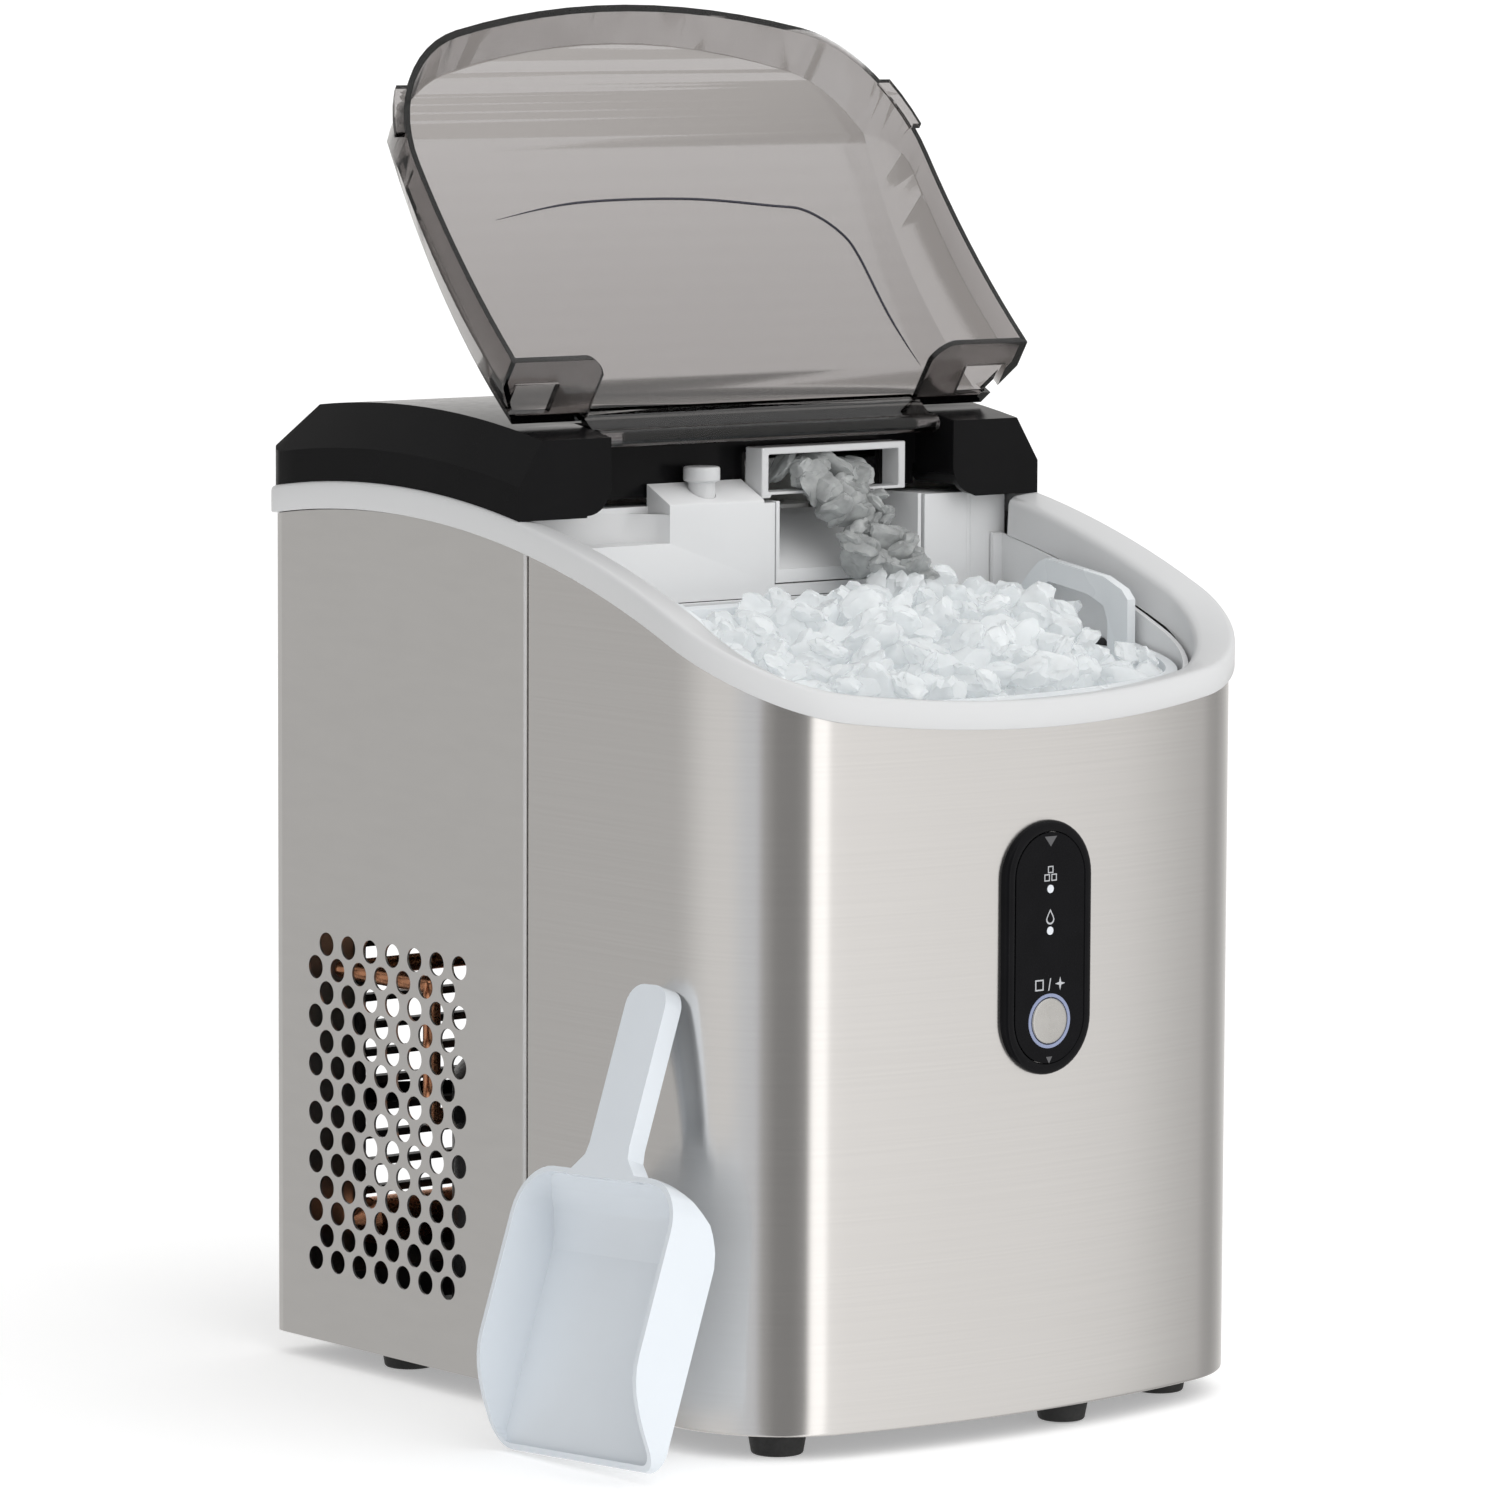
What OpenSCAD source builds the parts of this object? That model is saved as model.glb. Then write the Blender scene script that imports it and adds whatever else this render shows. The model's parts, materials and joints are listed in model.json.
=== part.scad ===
// Countertop nugget ice maker with its scoop leaning against the left side.
// The cabinet faces -Y, the lid stands open, and the floor is at z = 0.

/* [Cabinet] */
// Width across the steel sides
cabinet_w = 223.2; // [222:0.2:224.4]
// Distance from the middle of the bowed front to the back
cabinet_d = 274.6; // [274:0.2:275]
// Height of the steel's bottom edge above the floor
foot_h = 8; // [7.6:0.2:8.4]
// Radius of the two front corners
corner_r = 46; // [44:0.5:48]
// How far the front bows out between its ends
front_bow = 17.6; // [16:0.2:18]
// Thickness of the steel sheet
sheet_t = 0.8; // [0.6:0.1:0.9]

/* [Top edge] */
// Radius of the arc that the top edge follows from back to front
edge_r = 400; // [396:1:404]
// Height of that arc's crest above the floor
edge_top = 293.4; // [293:0.2:294]
// Height of the white rim
rim_h = 9.2; // [8.8:0.2:9.4]
// How far the rim stands out beyond the steel
rim_out = 2; // [1.6:0.2:2.4]

/* [Lid] */
// Angle that the lid opens through
lid_open = 147.8; // [146:0.2:148]
// Wall thickness of the lid
lid_t = 2.2; // [2:0.1:2.4]
// Radius of the arc along the top of the lid
lid_r = 260; // [259:0.5:261]

/* [Controls] */
// Width of the control panel's bezel
bezel_w = 37; // [36:0.5:38]
// Height of the bezel
bezel_h = 83; // [82:0.5:84]
// Height of the bezel's middle above the floor
bezel_z = 160.3; // [159:0.1:162]
// Radius of the button's cap
button_r = 7.5; // [7:0.1:7.8]

/* [Vents] */
// Diameter of one round vent hole
vent_d = 8; // [7:0.1:8.4]
// Rows of vent holes on each side
vent_rows = 14; // [10:1:14]
// Holes in one row
vent_columns = 7; // [5:1:7]

/* [Scoop] */
// Width of the scoop's bowl
scoop_w = 81; // [80:1:86]
// Length of the bowl
scoop_l = 90; // [90:1:94]
// Depth of the bowl
scoop_depth = 21; // [19:0.5:23]
// Length of the scoop's handle
scoop_handle = 62; // [58:1:66]
// Angle that the scoop leans at
scoop_lean = 20.5; // [19.5:0.5:21.5]

/* [Hidden] */

$fn = 48;
big = 360;          // segments on the long, shallow arcs
eps = 0.01;

// The cabinet's middle lies off the origin, because the scoop leans on one side.
body_x = 23.8;
body_y = 6.1;

half_w = cabinet_w / 2;
front_y = -143;
back_y = front_y + cabinet_d;
seam_y = -13.4;
bow_r = (half_w * half_w + front_bow * front_bow) / (2 * front_bow);
bow_cy = front_y + bow_r;
corner_x = half_w - corner_r;
corner_y = bow_cy - sqrt(pow(bow_r - corner_r, 2) - corner_x * corner_x);
bow_a = acos(corner_x / (bow_r - corner_r));     // where the bow meets a corner, from +X
back_corner_r = 8;

edge_y = 70;                                     // the top edge's crest
edge_cz = edge_top - edge_r;
function edge_z(y) = edge_cz + sqrt(edge_r * edge_r - (y - edge_y) * (y - edge_y));

cover_rise = 35.4;                               // top of the cover above the steel's edge
crease_rise = 20.4;                              // where the cover's side starts to slope in
bevel_in = 9.6;
ear_front = -9.7;
ear_in = 74;
cover_front = 10.6;                              // front edge of the cover between the ears

hinge_y = -0.6;
hinge_z = 319.6;
bead_r = 3.1;
pin_r = 1.5;
lid_cy = 30.5;
lid_cz = 62.9;
lid_gap = 0.4;

vent_pitch_y = 12.43;
vent_pitch_z = 8.33;
vent_top = 144.5;
vent_back = 98;

bin_floor = 150;
barrel_x = 28;
barrel_y = 50;
gear_teeth = 48;
pinion_teeth = 12;
gear_module = 1;

/* ---- shared shapes ---- */

module in_body() { translate([body_x, body_y, 0]) children(); }

function arc(cx, cy, r, a0, a1, n) =
    [for (i = [0:n]) let (a = a0 + (a1 - a0) * i / n) [cx + r * cos(a), cy + r * sin(a)]];

// The cabinet's plan outline, moved in by inset, back edge at y = back
function plan(inset, back = back_y) = concat(
    arc(half_w - back_corner_r, back - back_corner_r, back_corner_r - min(inset, 6), 0, 90, 4),
    arc(-half_w + back_corner_r, back - back_corner_r, back_corner_r - min(inset, 6), 90, 180, 4),
    arc(-corner_x, corner_y, corner_r - inset, 180, 360 - bow_a - 2 * (90 - bow_a), 12),
    [for (i = [1:11]) let (a = 270 - (90 - bow_a) + 2 * (90 - bow_a) * i / 12)
        [(bow_r - inset) * cos(a), bow_cy + (bow_r - inset) * sin(a)]],
    arc(corner_x, corner_y, corner_r - inset, 360 - bow_a, 360, 12)
);

module plan_prism(inset, z0, z1) {
    translate([0, 0, z0]) linear_extrude(z1 - z0) polygon(plan(inset));
}

module slab(y0, y1, z0, z1, w = 400) {
    translate([-w / 2, y0, z0]) cube([w, y1 - y0, z1 - z0]);
}

module block(x0, x1, y0, y1, z0, z1) {
    translate([x0, y0, z0]) cube([x1 - x0, y1 - y0, z1 - z0]);
}

// Everything under the top edge's arc, raised by rise
module under_edge(rise = 0) {
    translate([0, edge_y, edge_cz + rise]) rotate([0, 90, 0])
        cylinder(r = edge_r, h = 400, center = true, $fn = big);
}

module under_lid_arc(drop = 0) {
    translate([0, lid_cy, lid_cz - drop]) rotate([0, 90, 0])
        cylinder(r = lid_r, h = 400, center = true, $fn = big);
}

module stadium(w, h) {
    union() {
        square([w, h - w], center = true);
        translate([0, (h - w) / 2]) circle(d = w);
        translate([0, -(h - w) / 2]) circle(d = w);
    }
}

// A shape drawn in XZ and pushed back from y0 to y1
module facing_front(y0, y1) {
    translate([0, y1, 0]) rotate([90, 0, 0]) linear_extrude(y1 - y0) children();
}

module rod_y(x, z, r, y0, y1) {
    translate([x, y0, z]) rotate([-90, 0, 0]) cylinder(r = r, h = y1 - y0);
}

module rod_x(y, z, r, x0, x1) {
    translate([x0, y, z]) rotate([0, 90, 0]) cylinder(r = r, h = x1 - x0);
}

module post(x, y, r, z0, z1) { translate([x, y, z0]) cylinder(r = r, h = z1 - z0); }

module tube(x, y, r_out, r_in, z0, z1) {
    difference() {
        post(x, y, r_out, z0, z1);
        post(x, y, r_in, z0 - 1, z1 + 1);
    }
}

// Pipe bent to right angles through a list of points, with ball corners
module pipe(points, r) {
    union() {
        for (i = [0:len(points) - 2]) {
            step = points[i + 1] - points[i];
            length = norm(step);
            translate(points[i])
                rotate([0, acos(step[2] / length), atan2(step[1], step[0])])
                    cylinder(r = r, h = length, $fn = 24);
        }
        for (i = [1:len(points) - 2])
            translate(points[i]) sphere(r = r, $fn = 24);
    }
}

/* ---- cabinet ---- */

// Bottom edge turned in under the base pan
module steel_band(y0, y1) {
    intersection() {
        slab(y0, y1, 0, 400);
        union() {
            difference() {
                intersection() {
                    plan_prism(0, foot_h, 320);
                    under_edge(-0.3);
                }
                plan_prism(sheet_t, foot_h - 1, 321);
            }
            difference() {
                plan_prism(0, foot_h, foot_h + sheet_t);
                plan_prism(6, foot_h - 1, foot_h + 2);
            }
        }
    }
}

module front_wrap() {
    in_body() color([0.83, 0.82, 0.8]) difference() {
        steel_band(front_y - 1, seam_y - 0.15);
        facing_front(front_y - 5, front_y + 8) translate([0, bezel_z]) stadium(31, 77);
    }
}

module vent_field() {
    for (row = [0:vent_rows - 1], column = [0:vent_columns - 1])
        rod_x(vent_back - vent_pitch_y * (column - (row % 2) / 2),
              vent_top - vent_pitch_z * row, vent_d / 2, -150, 150);
}

module rear_shell() {
    in_body() color([0.68, 0.68, 0.67]) difference() {
        steel_band(seam_y + 0.15, back_y + 1);
        vent_field();
        block(-76, 76, back_y - 5, back_y + 5, 30, 150);
        block(-14, 14, back_y - 5, back_y + 5, 172, 196);
    }
}

module base_pan() {
    inset = sheet_t + 0.4;
    in_body() color([0.2, 0.2, 0.21]) difference() {
        union() {
            plan_prism(inset, foot_h + 1.1, foot_h + 2.3);
            difference() {
                plan_prism(inset, foot_h + 1.1, foot_h + 16);
                plan_prism(inset + 1.5, foot_h, foot_h + 17);
            }
        }
        post(drain_x, drain_y, 5.2, 0, 30);
    }
}

foot_spots = [[-85.5, -112], [83, -108], [-90, 80], [90, 80]];

module feet() {
    in_body() color([0.08, 0.08, 0.08])
        for (spot = foot_spots)
            translate([spot[0], spot[1], 0]) cylinder(r1 = 8.4, r2 = 10, h = foot_h + 1.05);
}

module rim_ring(outer, inner, low, high) {
    difference() {
        intersection() {
            plan_prism(outer, 180, 340);
            under_edge(high);
        }
        under_edge(low);
        plan_prism(inner, 170, 350);
    }
}

// The rim carries the lid, and its inner ledge leads ice down into the bin
module top_rim() {
    in_body() color([0.93, 0.94, 0.95]) union() {
        rim_ring(-rim_out, 4, 0, rim_h);
        intersection() {
            rim_ring(3.9, 12.5, -5, 8);
            slab(front_y, -6, 0, 400);
        }
    }
}

/* ---- rear cover ---- */

// Keeps what lies under the long bevel on one side
module under_bevel(side, reach) {
    slope = atan2(cover_rise - crease_rise, bevel_in);
    bevel_r = edge_r / cos(slope);
    translate([side * reach, edge_y, edge_top + crease_rise])
        rotate([0, side * slope, 0]) translate([0, 0, -bevel_r]) rotate([0, 90, 0])
            cylinder(r = bevel_r, h = 700, center = true, $fn = big);
}

// Solid form of the cover, shrunk by wall on every side
module cover_body(wall) {
    intersection() {
        plan_prism(wall - 0.6, 270, 340);
        under_edge(cover_rise - wall);
        under_bevel(1, half_w + 0.6 - wall * 1.2);
        under_bevel(-1, half_w + 0.6 - wall * 1.2);
        translate([0, back_y + 0.6, 308 - wall]) rotate([45, 0, 0])
            translate([-200, -400, -300]) cube([400, 400, 600]);
    }
}

module ear_gap(wall) {
    block(-ear_in - wall, ear_in + wall, -30, cover_front + wall, 270, 340);
}

module rear_cover() {
    wall = 2.4;
    in_body() color([0.09, 0.09, 0.1]) difference() {
        intersection() {
            cover_body(0);
            slab(ear_front, 200, 0, 400);
        }
        under_edge(rim_h + 0.1);
        ear_gap(0);
        difference() {
            intersection() {
                cover_body(wall);
                slab(ear_front + wall, 200, 0, 400);
            }
            ear_gap(wall);
            for (side = [-1, 1])
                rod_x(hinge_y, hinge_z, 4.6, side > 0 ? ear_in - 1 : -ear_in - 9, side > 0 ? ear_in + 9 : -ear_in + 1);
        }
        rod_x(hinge_y, hinge_z, pin_r + 0.02, -ear_in - 7, ear_in + 7);
        block(-1, 58, cover_front - 5, cover_front + 5, 290, 312);
        // rounded inner lower corners of the ears
        for (side = [-1, 1]) difference() {
            block(min(side * (ear_in - 1), side * (ear_in + 10)),
                  max(side * (ear_in - 1), side * (ear_in + 10)), -20, 20, 280, 305.3);
            rod_y(side * (ear_in + 10), 305.3, 10, -30, 30);
        }
    }
}

module rear_grille() {
    in_body() color([0.12, 0.12, 0.12]) difference() {
        union() {
            block(-80, 80, back_y + 0.1, back_y + 2.1, 26, 154);
            block(-75.6, 75.6, back_y - 2.4, back_y + 0.2, 30.4, 149.6);
        }
        for (i = [0:11])
            block(-72, 72, back_y - 9, back_y + 9, 34 + 9.6 * i, 34 + 9.6 * i + 7);
    }
}

/* ---- ice bin ---- */

// Open-topped bin with its top following the rim
module bin_shape(inset, back, floor, rise) {
    intersection() {
        plan_prism(inset, floor, 320);
        slab(front_y, back, 0, 400);
        under_edge(rise);
    }
}

module bin_liner() {
    in_body() color([0.92, 0.93, 0.94]) difference() {
        bin_shape(13.3, -3.4, bin_floor, -5.3);
        bin_shape(15.3, -5.4, bin_floor + 2, 20);
        post(0, -70, 6, bin_floor - 5, bin_floor + 5);
        rod_x(-60, 246, 3.1, -150, 150);
        // the back wall stops under the moulding behind it
        block(-half_w + 15.4, half_w - 15.4, -6, 0, 263.8, 300);
    }
}

module bin_back() {
    in_body() color([0.93, 0.93, 0.93]) union() {
        difference() {
            block(-103, 103, -3, 24, 264, 295.6);
            block(-101, 101, -0.8, 30, 263, 293.4);
            // chute notch and the lower left shelf
            block(1, 67, -5, 30, 268, 300);
            block(-110, -44, -5, 9, 284, 300);
            post(86.8, -3.5, 1.2, 260, 300);
        }
        block(-101, -44, 9, 11.2, 284, 293.5);
        block(-101.1, -44, -0.9, 11.2, 282, 284);
        // sloping top beside the chute, bored for the cap's stem
        difference() {
            translate([-44, 0, 0]) rotate([90, 0, 90]) linear_extrude(40.4)
                polygon([[-3, 295.5], [-3, 296.4], [-2.4, 297], [9.5, 303], [9.5, 295.5]]);
            post(-25, 4, 4.8, 290, 310);
        }
        // hollow flare closing the side of the raised part
        translate([0, 0, 283.9]) linear_extrude(9.6) difference() {
            polygon([[-42.1, -3], [-44, -3], [-45.6, 0.6], [-48.6, 4.2], [-52, 6.6], [-57, 9.1], [-42.1, 9.1]]);
            polygon([[-43.8, -1], [-43.8, 9.2], [-52, 9.2], [-47, 5.6]]);
        }
    }
}

module chute_frame() {
    in_body() color([0.9, 0.9, 0.88]) difference() {
        block(-3, 60, -1, 8, 297, 314);
        block(0, 57, -3, 12, 299, 311.6);
        // the frame sits over the chute's side walls
        block(1, 66.9, -3, 12, 290, 298);
    }
}

// Sloping floor and cheeks that ice slides down from the extruder to the bin
module ice_chute() {
    in_body() color([0.88, 0.9, 0.91]) difference() {
        block(2, 66, -2.5, 25.5, 268.4, 296);
        rotate([90, 0, 90]) translate([0, 0, 3.6]) linear_extrude(60.8)
            polygon([[-20, 273], [-2, 273], [18, 289], [60, 299], [60, 330], [-20, 330]]);
        rotate([90, 0, 90]) translate([0, 0, 3.6]) linear_extrude(60.8)
            polygon([[-20, 266], [-0.4, 266], [18, 286.6], [60, 296.6], [60, 200], [-20, 200]]);
    }
}

module vent_cap() {
    in_body() color([0.95, 0.95, 0.95]) union() {
        post(-25, 4, 6.2, 303.5, 308.5);
        post(-25, 4, 4.6, 295.7, 303.6);
    }
}

module ice_sensor() {
    in_body() color([0.15, 0.15, 0.16])
        for (side = [-1, 1])
            rod_x(-60, 246, 3, side > 0 ? 96.4 : -98.2, side > 0 ? 98.2 : -96.4);
}

basket_wall = 2;
basket_back = -13;

// Grip standing on each side of the basket, and the opening through it
grip_outer = [[-24, 240], [-24.5, 261], [-26.4, 265.5], [-30.6, 269.9], [-35, 273.6], [-38.9, 275],
    [-68.1, 270.8], [-77.4, 267], [-80.5, 263.7], [-80.6, 240]];
grip_inner = [[-34, 247], [-34, 262], [-36, 265], [-40.1, 267.1], [-59.9, 264.3], [-68.2, 260.8],
    [-70.3, 256.1], [-70.3, 247]];

module grip_side(outline, low, high) {
    for (side = [-1, 1])
        translate([side > 0 ? low : -high, 0, 0]) rotate([90, 0, 90]) linear_extrude(high - low) polygon(outline);
}

// Everything below the basket's sloping top edge, less drop
module under_basket_top(drop) {
    rotate([90, 0, 90]) translate([0, 0, -150]) linear_extrude(300)
        polygon([[0, 265.8 - drop], [0, 0], [-160, 0], [-160, 232.2 - drop]]);
}

module ice_basket() {
    inset = 19;
    in_body() color([0.9, 0.92, 0.94]) difference() {
        union() {
            difference() {
                union() {
                    intersection() {
                        bin_shape(inset, basket_back, bin_floor + 2.3, 0);
                        under_basket_top(0);
                    }
                    intersection() {
                        bin_shape(inset - 2, basket_back + 2, bin_floor + 60, 0);
                        under_basket_top(0);
                        difference() {
                            under_basket_top(0);
                            under_basket_top(2);
                        }
                    }
                }
                bin_shape(inset + basket_wall, basket_back - basket_wall, bin_floor + 2.3 + basket_wall, 20);
            }
            grip_side(grip_outer, half_w - inset - basket_wall, half_w - inset + 1.6);
        }
        grip_side(grip_inner, half_w - inset - 5, half_w - inset + 5);
        // drain slots
        for (i = [-3:3]) block(i * 18 - 2, i * 18 + 2, -100, -30, 100, bin_floor + 20);
    }
}

module liner_foam() {
    in_body() color([0.85, 0.83, 0.75]) difference() {
        bin_shape(3, 8, bin_floor - 14, -30);
        bin_shape(13.2, -3.3, bin_floor - 0.1, 20);
        post(0, -70, 6.2, 100, bin_floor + 5);
        block(-40, 40, -200, front_y + 12, 100, 400);
        block(-103.2, 103.2, -3.3, 30, 263.9, 400);
    }
}

/* ---- control panel ---- */

panel_out = front_y - 2.6;

module panel_bezel() {
    in_body() color([0.06, 0.06, 0.07]) translate([0, 0, bezel_z]) difference() {
        union() {
            facing_front(panel_out, front_y - 0.05) stadium(bezel_w, bezel_h);
            facing_front(front_y - 0.1, front_y + 5) stadium(30.4, 76.4);
        }
        facing_front(panel_out - 1, panel_out + 1.4) stadium(bezel_w - 7.4, bezel_h - 7.4);
        facing_front(panel_out, front_y + 9) stadium(26, 72);
    }
}

led_heights = [179.5, 165.9];
button_z = 136.5;

module panel_face() {
    in_body() color([0.1, 0.1, 0.11]) difference() {
        facing_front(panel_out + 0.2, panel_out + 1.4)
            translate([0, bezel_z]) stadium(bezel_w - 7.8, bezel_h - 7.8);
        for (z = led_heights) rod_y(0, z, 1.4, panel_out - 1, panel_out + 3);
        rod_y(0, button_z, button_r + 1.5, panel_out - 1, panel_out + 3);
    }
}

module led_lenses() {
    in_body() color([0.95, 0.96, 1])
        for (z = led_heights) rod_y(0, z, 1.35, panel_out + 0.1, panel_out + 5.4);
}

module button_ring() {
    in_body() color([0.75, 0.8, 0.95]) difference() {
        union() {
            rod_y(0, button_z, button_r + 1.4, panel_out + 0.1, panel_out + 6);
            rod_y(0, button_z, 11.7, panel_out + 3.6, panel_out + 5.1);
        }
        rod_y(0, button_z, button_r + 0.3, panel_out - 1, panel_out + 8);
    }
}

module button() {
    in_body() color([0.72, 0.72, 0.73]) union() {
        rod_y(0, button_z, button_r, panel_out - 0.3, panel_out + 4);
        rod_y(0, button_z, 2.5, panel_out + 3.9, panel_out + 6.6);
    }
}

board_screws = [for (x = [-9, 9], z = [128, 193]) [x, z]];

// Board with its tactile switch and two light-emitting diodes
module control_board() {
    in_body() color([0.1, 0.35, 0.2]) union() {
        difference() {
            block(-14, 14, front_y + 6.2, front_y + 7.8, 124, 197);
            for (spot = board_screws) rod_y(spot[0], spot[1], 1.25, front_y + 5, front_y + 9);
        }
        block(-4, 4, front_y + 5, front_y + 6.3, button_z - 4, button_z + 4);
        for (z = led_heights) block(-2, 2, front_y + 3.2, front_y + 6.3, z - 2, z + 2);
    }
}

/* ---- lid ---- */

// Closed form of the lid, shrunk by wall
module lid_form(wall) {
    slope = atan2(15, bevel_in);
    intersection() {
        plan_prism(0.4 + wall, 220, 340);
        under_lid_arc(wall);
        side_bevels(slope, wall);
        slab(front_y, -11 - wall, 0, 400);
    }
}

module side_bevels(slope, wall) {
    bevel_r = lid_r / cos(slope);
    intersection_for (side = [-1, 1])
        translate([side * (half_w - 0.4 - wall * 1.2), lid_cy, lid_cz + lid_r - 15])
            rotate([0, side * slope, 0]) translate([0, 0, -bevel_r]) rotate([0, 90, 0])
                cylinder(r = bevel_r, h = 900, center = true, $fn = big);
}

// Thin tab along the lid's lower edge, to lift it by
module finger_tab(side) {
    intersection() {
        difference() {
            plan_prism(-3.4, 200, 300);
            plan_prism(1.5, 190, 310);
            under_edge(rim_h + lid_gap);
        }
        under_edge(rim_h + lid_gap + 2);
        block(side > 0 ? 50 : -130, side > 0 ? 130 : -50, -117, -101, 200, 300);
    }
}

// Window in the wall beside each ear, and that wall's rounded lower inner corner
module web_cuts(side) {
    mirror([side < 0 ? 1 : 0, 0, 0]) {
        block(88, 106, -14, -10.9, 304, 315.5);
        difference() {
            block(ear_in - 4, ear_in + 8, -14, -10.9, 280, 306);
            rod_y(ear_in + 8, 306, 12, -20, 0);
        }
    }
}

module closed_lid() {
    difference() {
        union() {
            difference() {
                lid_form(0);
                lid_form(lid_t);
            }
            // tongue between the ears, carrying the hinge bead
            intersection() {
                difference() {
                    under_lid_arc(0);
                    under_lid_arc(lid_t);
                }
                slab(-12, hinge_y, 300, 340, 2 * ear_in - 2);
            }
            rod_x(hinge_y, hinge_z, bead_r, -ear_in + 1, ear_in - 1);
            for (side = [-1, 1]) finger_tab(side);
        }
        under_edge(rim_h + lid_gap);
        // the wall stops at the ears, and the middle is open over the chute
        block(-ear_in + 3, ear_in - 3, -14, -10.9, 280, 318.2);
        for (side = [-1, 1]) web_cuts(side);
        rod_x(hinge_y, hinge_z, pin_r + 0.06, -ear_in - 1, -ear_in + 11);
        rod_x(hinge_y, hinge_z, pin_r + 0.06, ear_in - 11, ear_in + 1);
    }
}

module lid() {
    in_body() color([0.35, 0.35, 0.38, 0.6])
        translate([0, hinge_y, hinge_z]) rotate([-lid_open, 0, 0])
            translate([0, -hinge_y, -hinge_z]) closed_lid();
}

module hinge_pins() {
    in_body() color([0.7, 0.7, 0.72]) for (side = [-1, 1])
        rod_x(hinge_y, hinge_z, pin_r, side > 0 ? ear_in - 10 : -ear_in - 6.9,
              side > 0 ? ear_in + 6.9 : -ear_in + 10);
}

/* ---- refrigeration ---- */

comp_x = -52;
comp_y = 40;
pan_top = foot_h + 2.3;

module compressor() {
    in_body() color([0.08, 0.08, 0.09]) union() {
        post(comp_x, comp_y, 40, pan_top + 12, pan_top + 92);
        translate([comp_x, comp_y, pan_top + 92]) cylinder(r1 = 40, r2 = 30, h = 12);
        difference() {
            block(comp_x - 42, comp_x + 42, comp_y - 40, comp_y + 40, pan_top + 8, pan_top + 12.1);
            for (spot = mount_spots) post(comp_x + spot[0], comp_y + spot[1], 4.1, 0, 60);
        }
        post(comp_x, comp_y, 3, pan_top + 103, pan_top + 112);
        rod_x(comp_y + 10, pan_top + 80, 3, comp_x - 46, comp_x - 30);
    }
}

mount_spots = [[-36, -33], [36, -33], [-36, 33], [36, 33]];

module compressor_mounts() {
    in_body() color([0.12, 0.12, 0.12]) for (spot = mount_spots) {
        post(comp_x + spot[0], comp_y + spot[1], 6, pan_top, pan_top + 8);
        post(comp_x + spot[0], comp_y + spot[1], 4, pan_top + 8, pan_top + 14);
    }
}

module compressor_relay() {
    in_body() color([0.85, 0.85, 0.82])
        block(comp_x - 16, comp_x + 16, comp_y - 51, comp_y - 40.2, pan_top + 30, pan_top + 74);
}

cond_x0 = -26;
cond_x1 = 76;

// Serpentine of copper tube through the fins
module condenser() {
    in_body() color([0.72, 0.42, 0.26]) union() {
        for (i = [0:5]) rod_x(117, 44 + 16 * i, 3, cond_x0, cond_x1);
        for (i = [0:4]) {
            x = i % 2 == 0 ? cond_x1 : cond_x0;
            post(x, 117, 3, 44 + 16 * i, 60 + 16 * i);
            translate([x, 117, 44 + 16 * i]) sphere(r = 3, $fn = 24);
            translate([x, 117, 60 + 16 * i]) sphere(r = 3, $fn = 24);
        }
    }
}

module condenser_fins() {
    in_body() color([0.78, 0.79, 0.8]) difference() {
        for (i = [0:22]) block(-20 + 4 * i, -19.4 + 4 * i, 108, 126, 34, 134);
        for (i = [0:5]) rod_x(117, 44 + 16 * i, 3.02, -40, 90);
    }
}

fan_x = 26;
fan_z = 84;

module fan_shroud() {
    in_body() color([0.14, 0.14, 0.15]) union() {
        difference() {
            block(fan_x - 50, fan_x + 50, 88, 106, fan_z - 50, fan_z + 50);
            rod_y(fan_x, fan_z, 45, 80, 110);
        }
        difference() {
            for (a = [45, 135])
                translate([fan_x, 90, fan_z]) rotate([0, a, 0]) cube([100, 3, 5], center = true);
            rod_y(fan_x, fan_z, 2.6, 85, 95);
        }
    }
}

module fan_motor() {
    in_body() color([0.3, 0.3, 0.31]) union() {
        rod_y(fan_x, fan_z, 15, 72, 88.4);
        rod_y(fan_x, fan_z, 2.5, 88, 100);
    }
}

module fan_blade() {
    in_body() color([0.2, 0.2, 0.22]) difference() {
        union() {
            rod_y(fan_x, fan_z, 12, 93, 103);
            for (i = [0:6]) translate([fan_x, 98, fan_z]) rotate([0, i * 360 / 7, 0])
                translate([11, 0, 0]) rotate([32, 0, 0]) translate([0, -0.8, -9])
                    cube([31, 1.6, 18]);
        }
        rod_y(fan_x, fan_z, 2.56, 90, 101);
    }
}

module discharge_line() {
    in_body() color([0.75, 0.42, 0.25])
        pipe([[comp_x - 46, comp_y + 10, pan_top + 80], [-103, comp_y + 10, pan_top + 80],
              [-103, comp_y + 10, 135], [-103, 100, 135], [-34, 100, 135], [-34, 117, 135],
              [-34, 117, 124], [cond_x0 - 0.1, 117, 124]], 3);
}

module filter_drier() {
    in_body() color([0.75, 0.45, 0.28]) translate([0, 117, 44]) rotate([0, -90, 0]) union() {
        translate([0, 0, 36]) cylinder(r = 8, h = 44);
        translate([0, 0, 28]) cylinder(r1 = 3, r2 = 8, h = 8);
        translate([0, 0, 80]) cylinder(r1 = 8, r2 = 3, h = 8);
        translate([0, 0, 26.1]) cylinder(r = 3, h = 2);
    }
}

module suction_line() {
    in_body() color([0.75, 0.42, 0.25])
        pipe([[comp_x, comp_y, pan_top + 112], [comp_x, comp_y, 190], [-5.6, comp_y, 190]], 3);
}

/* ---- ice making ---- */

stand_top = 150;
barrel_top = 276;

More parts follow.
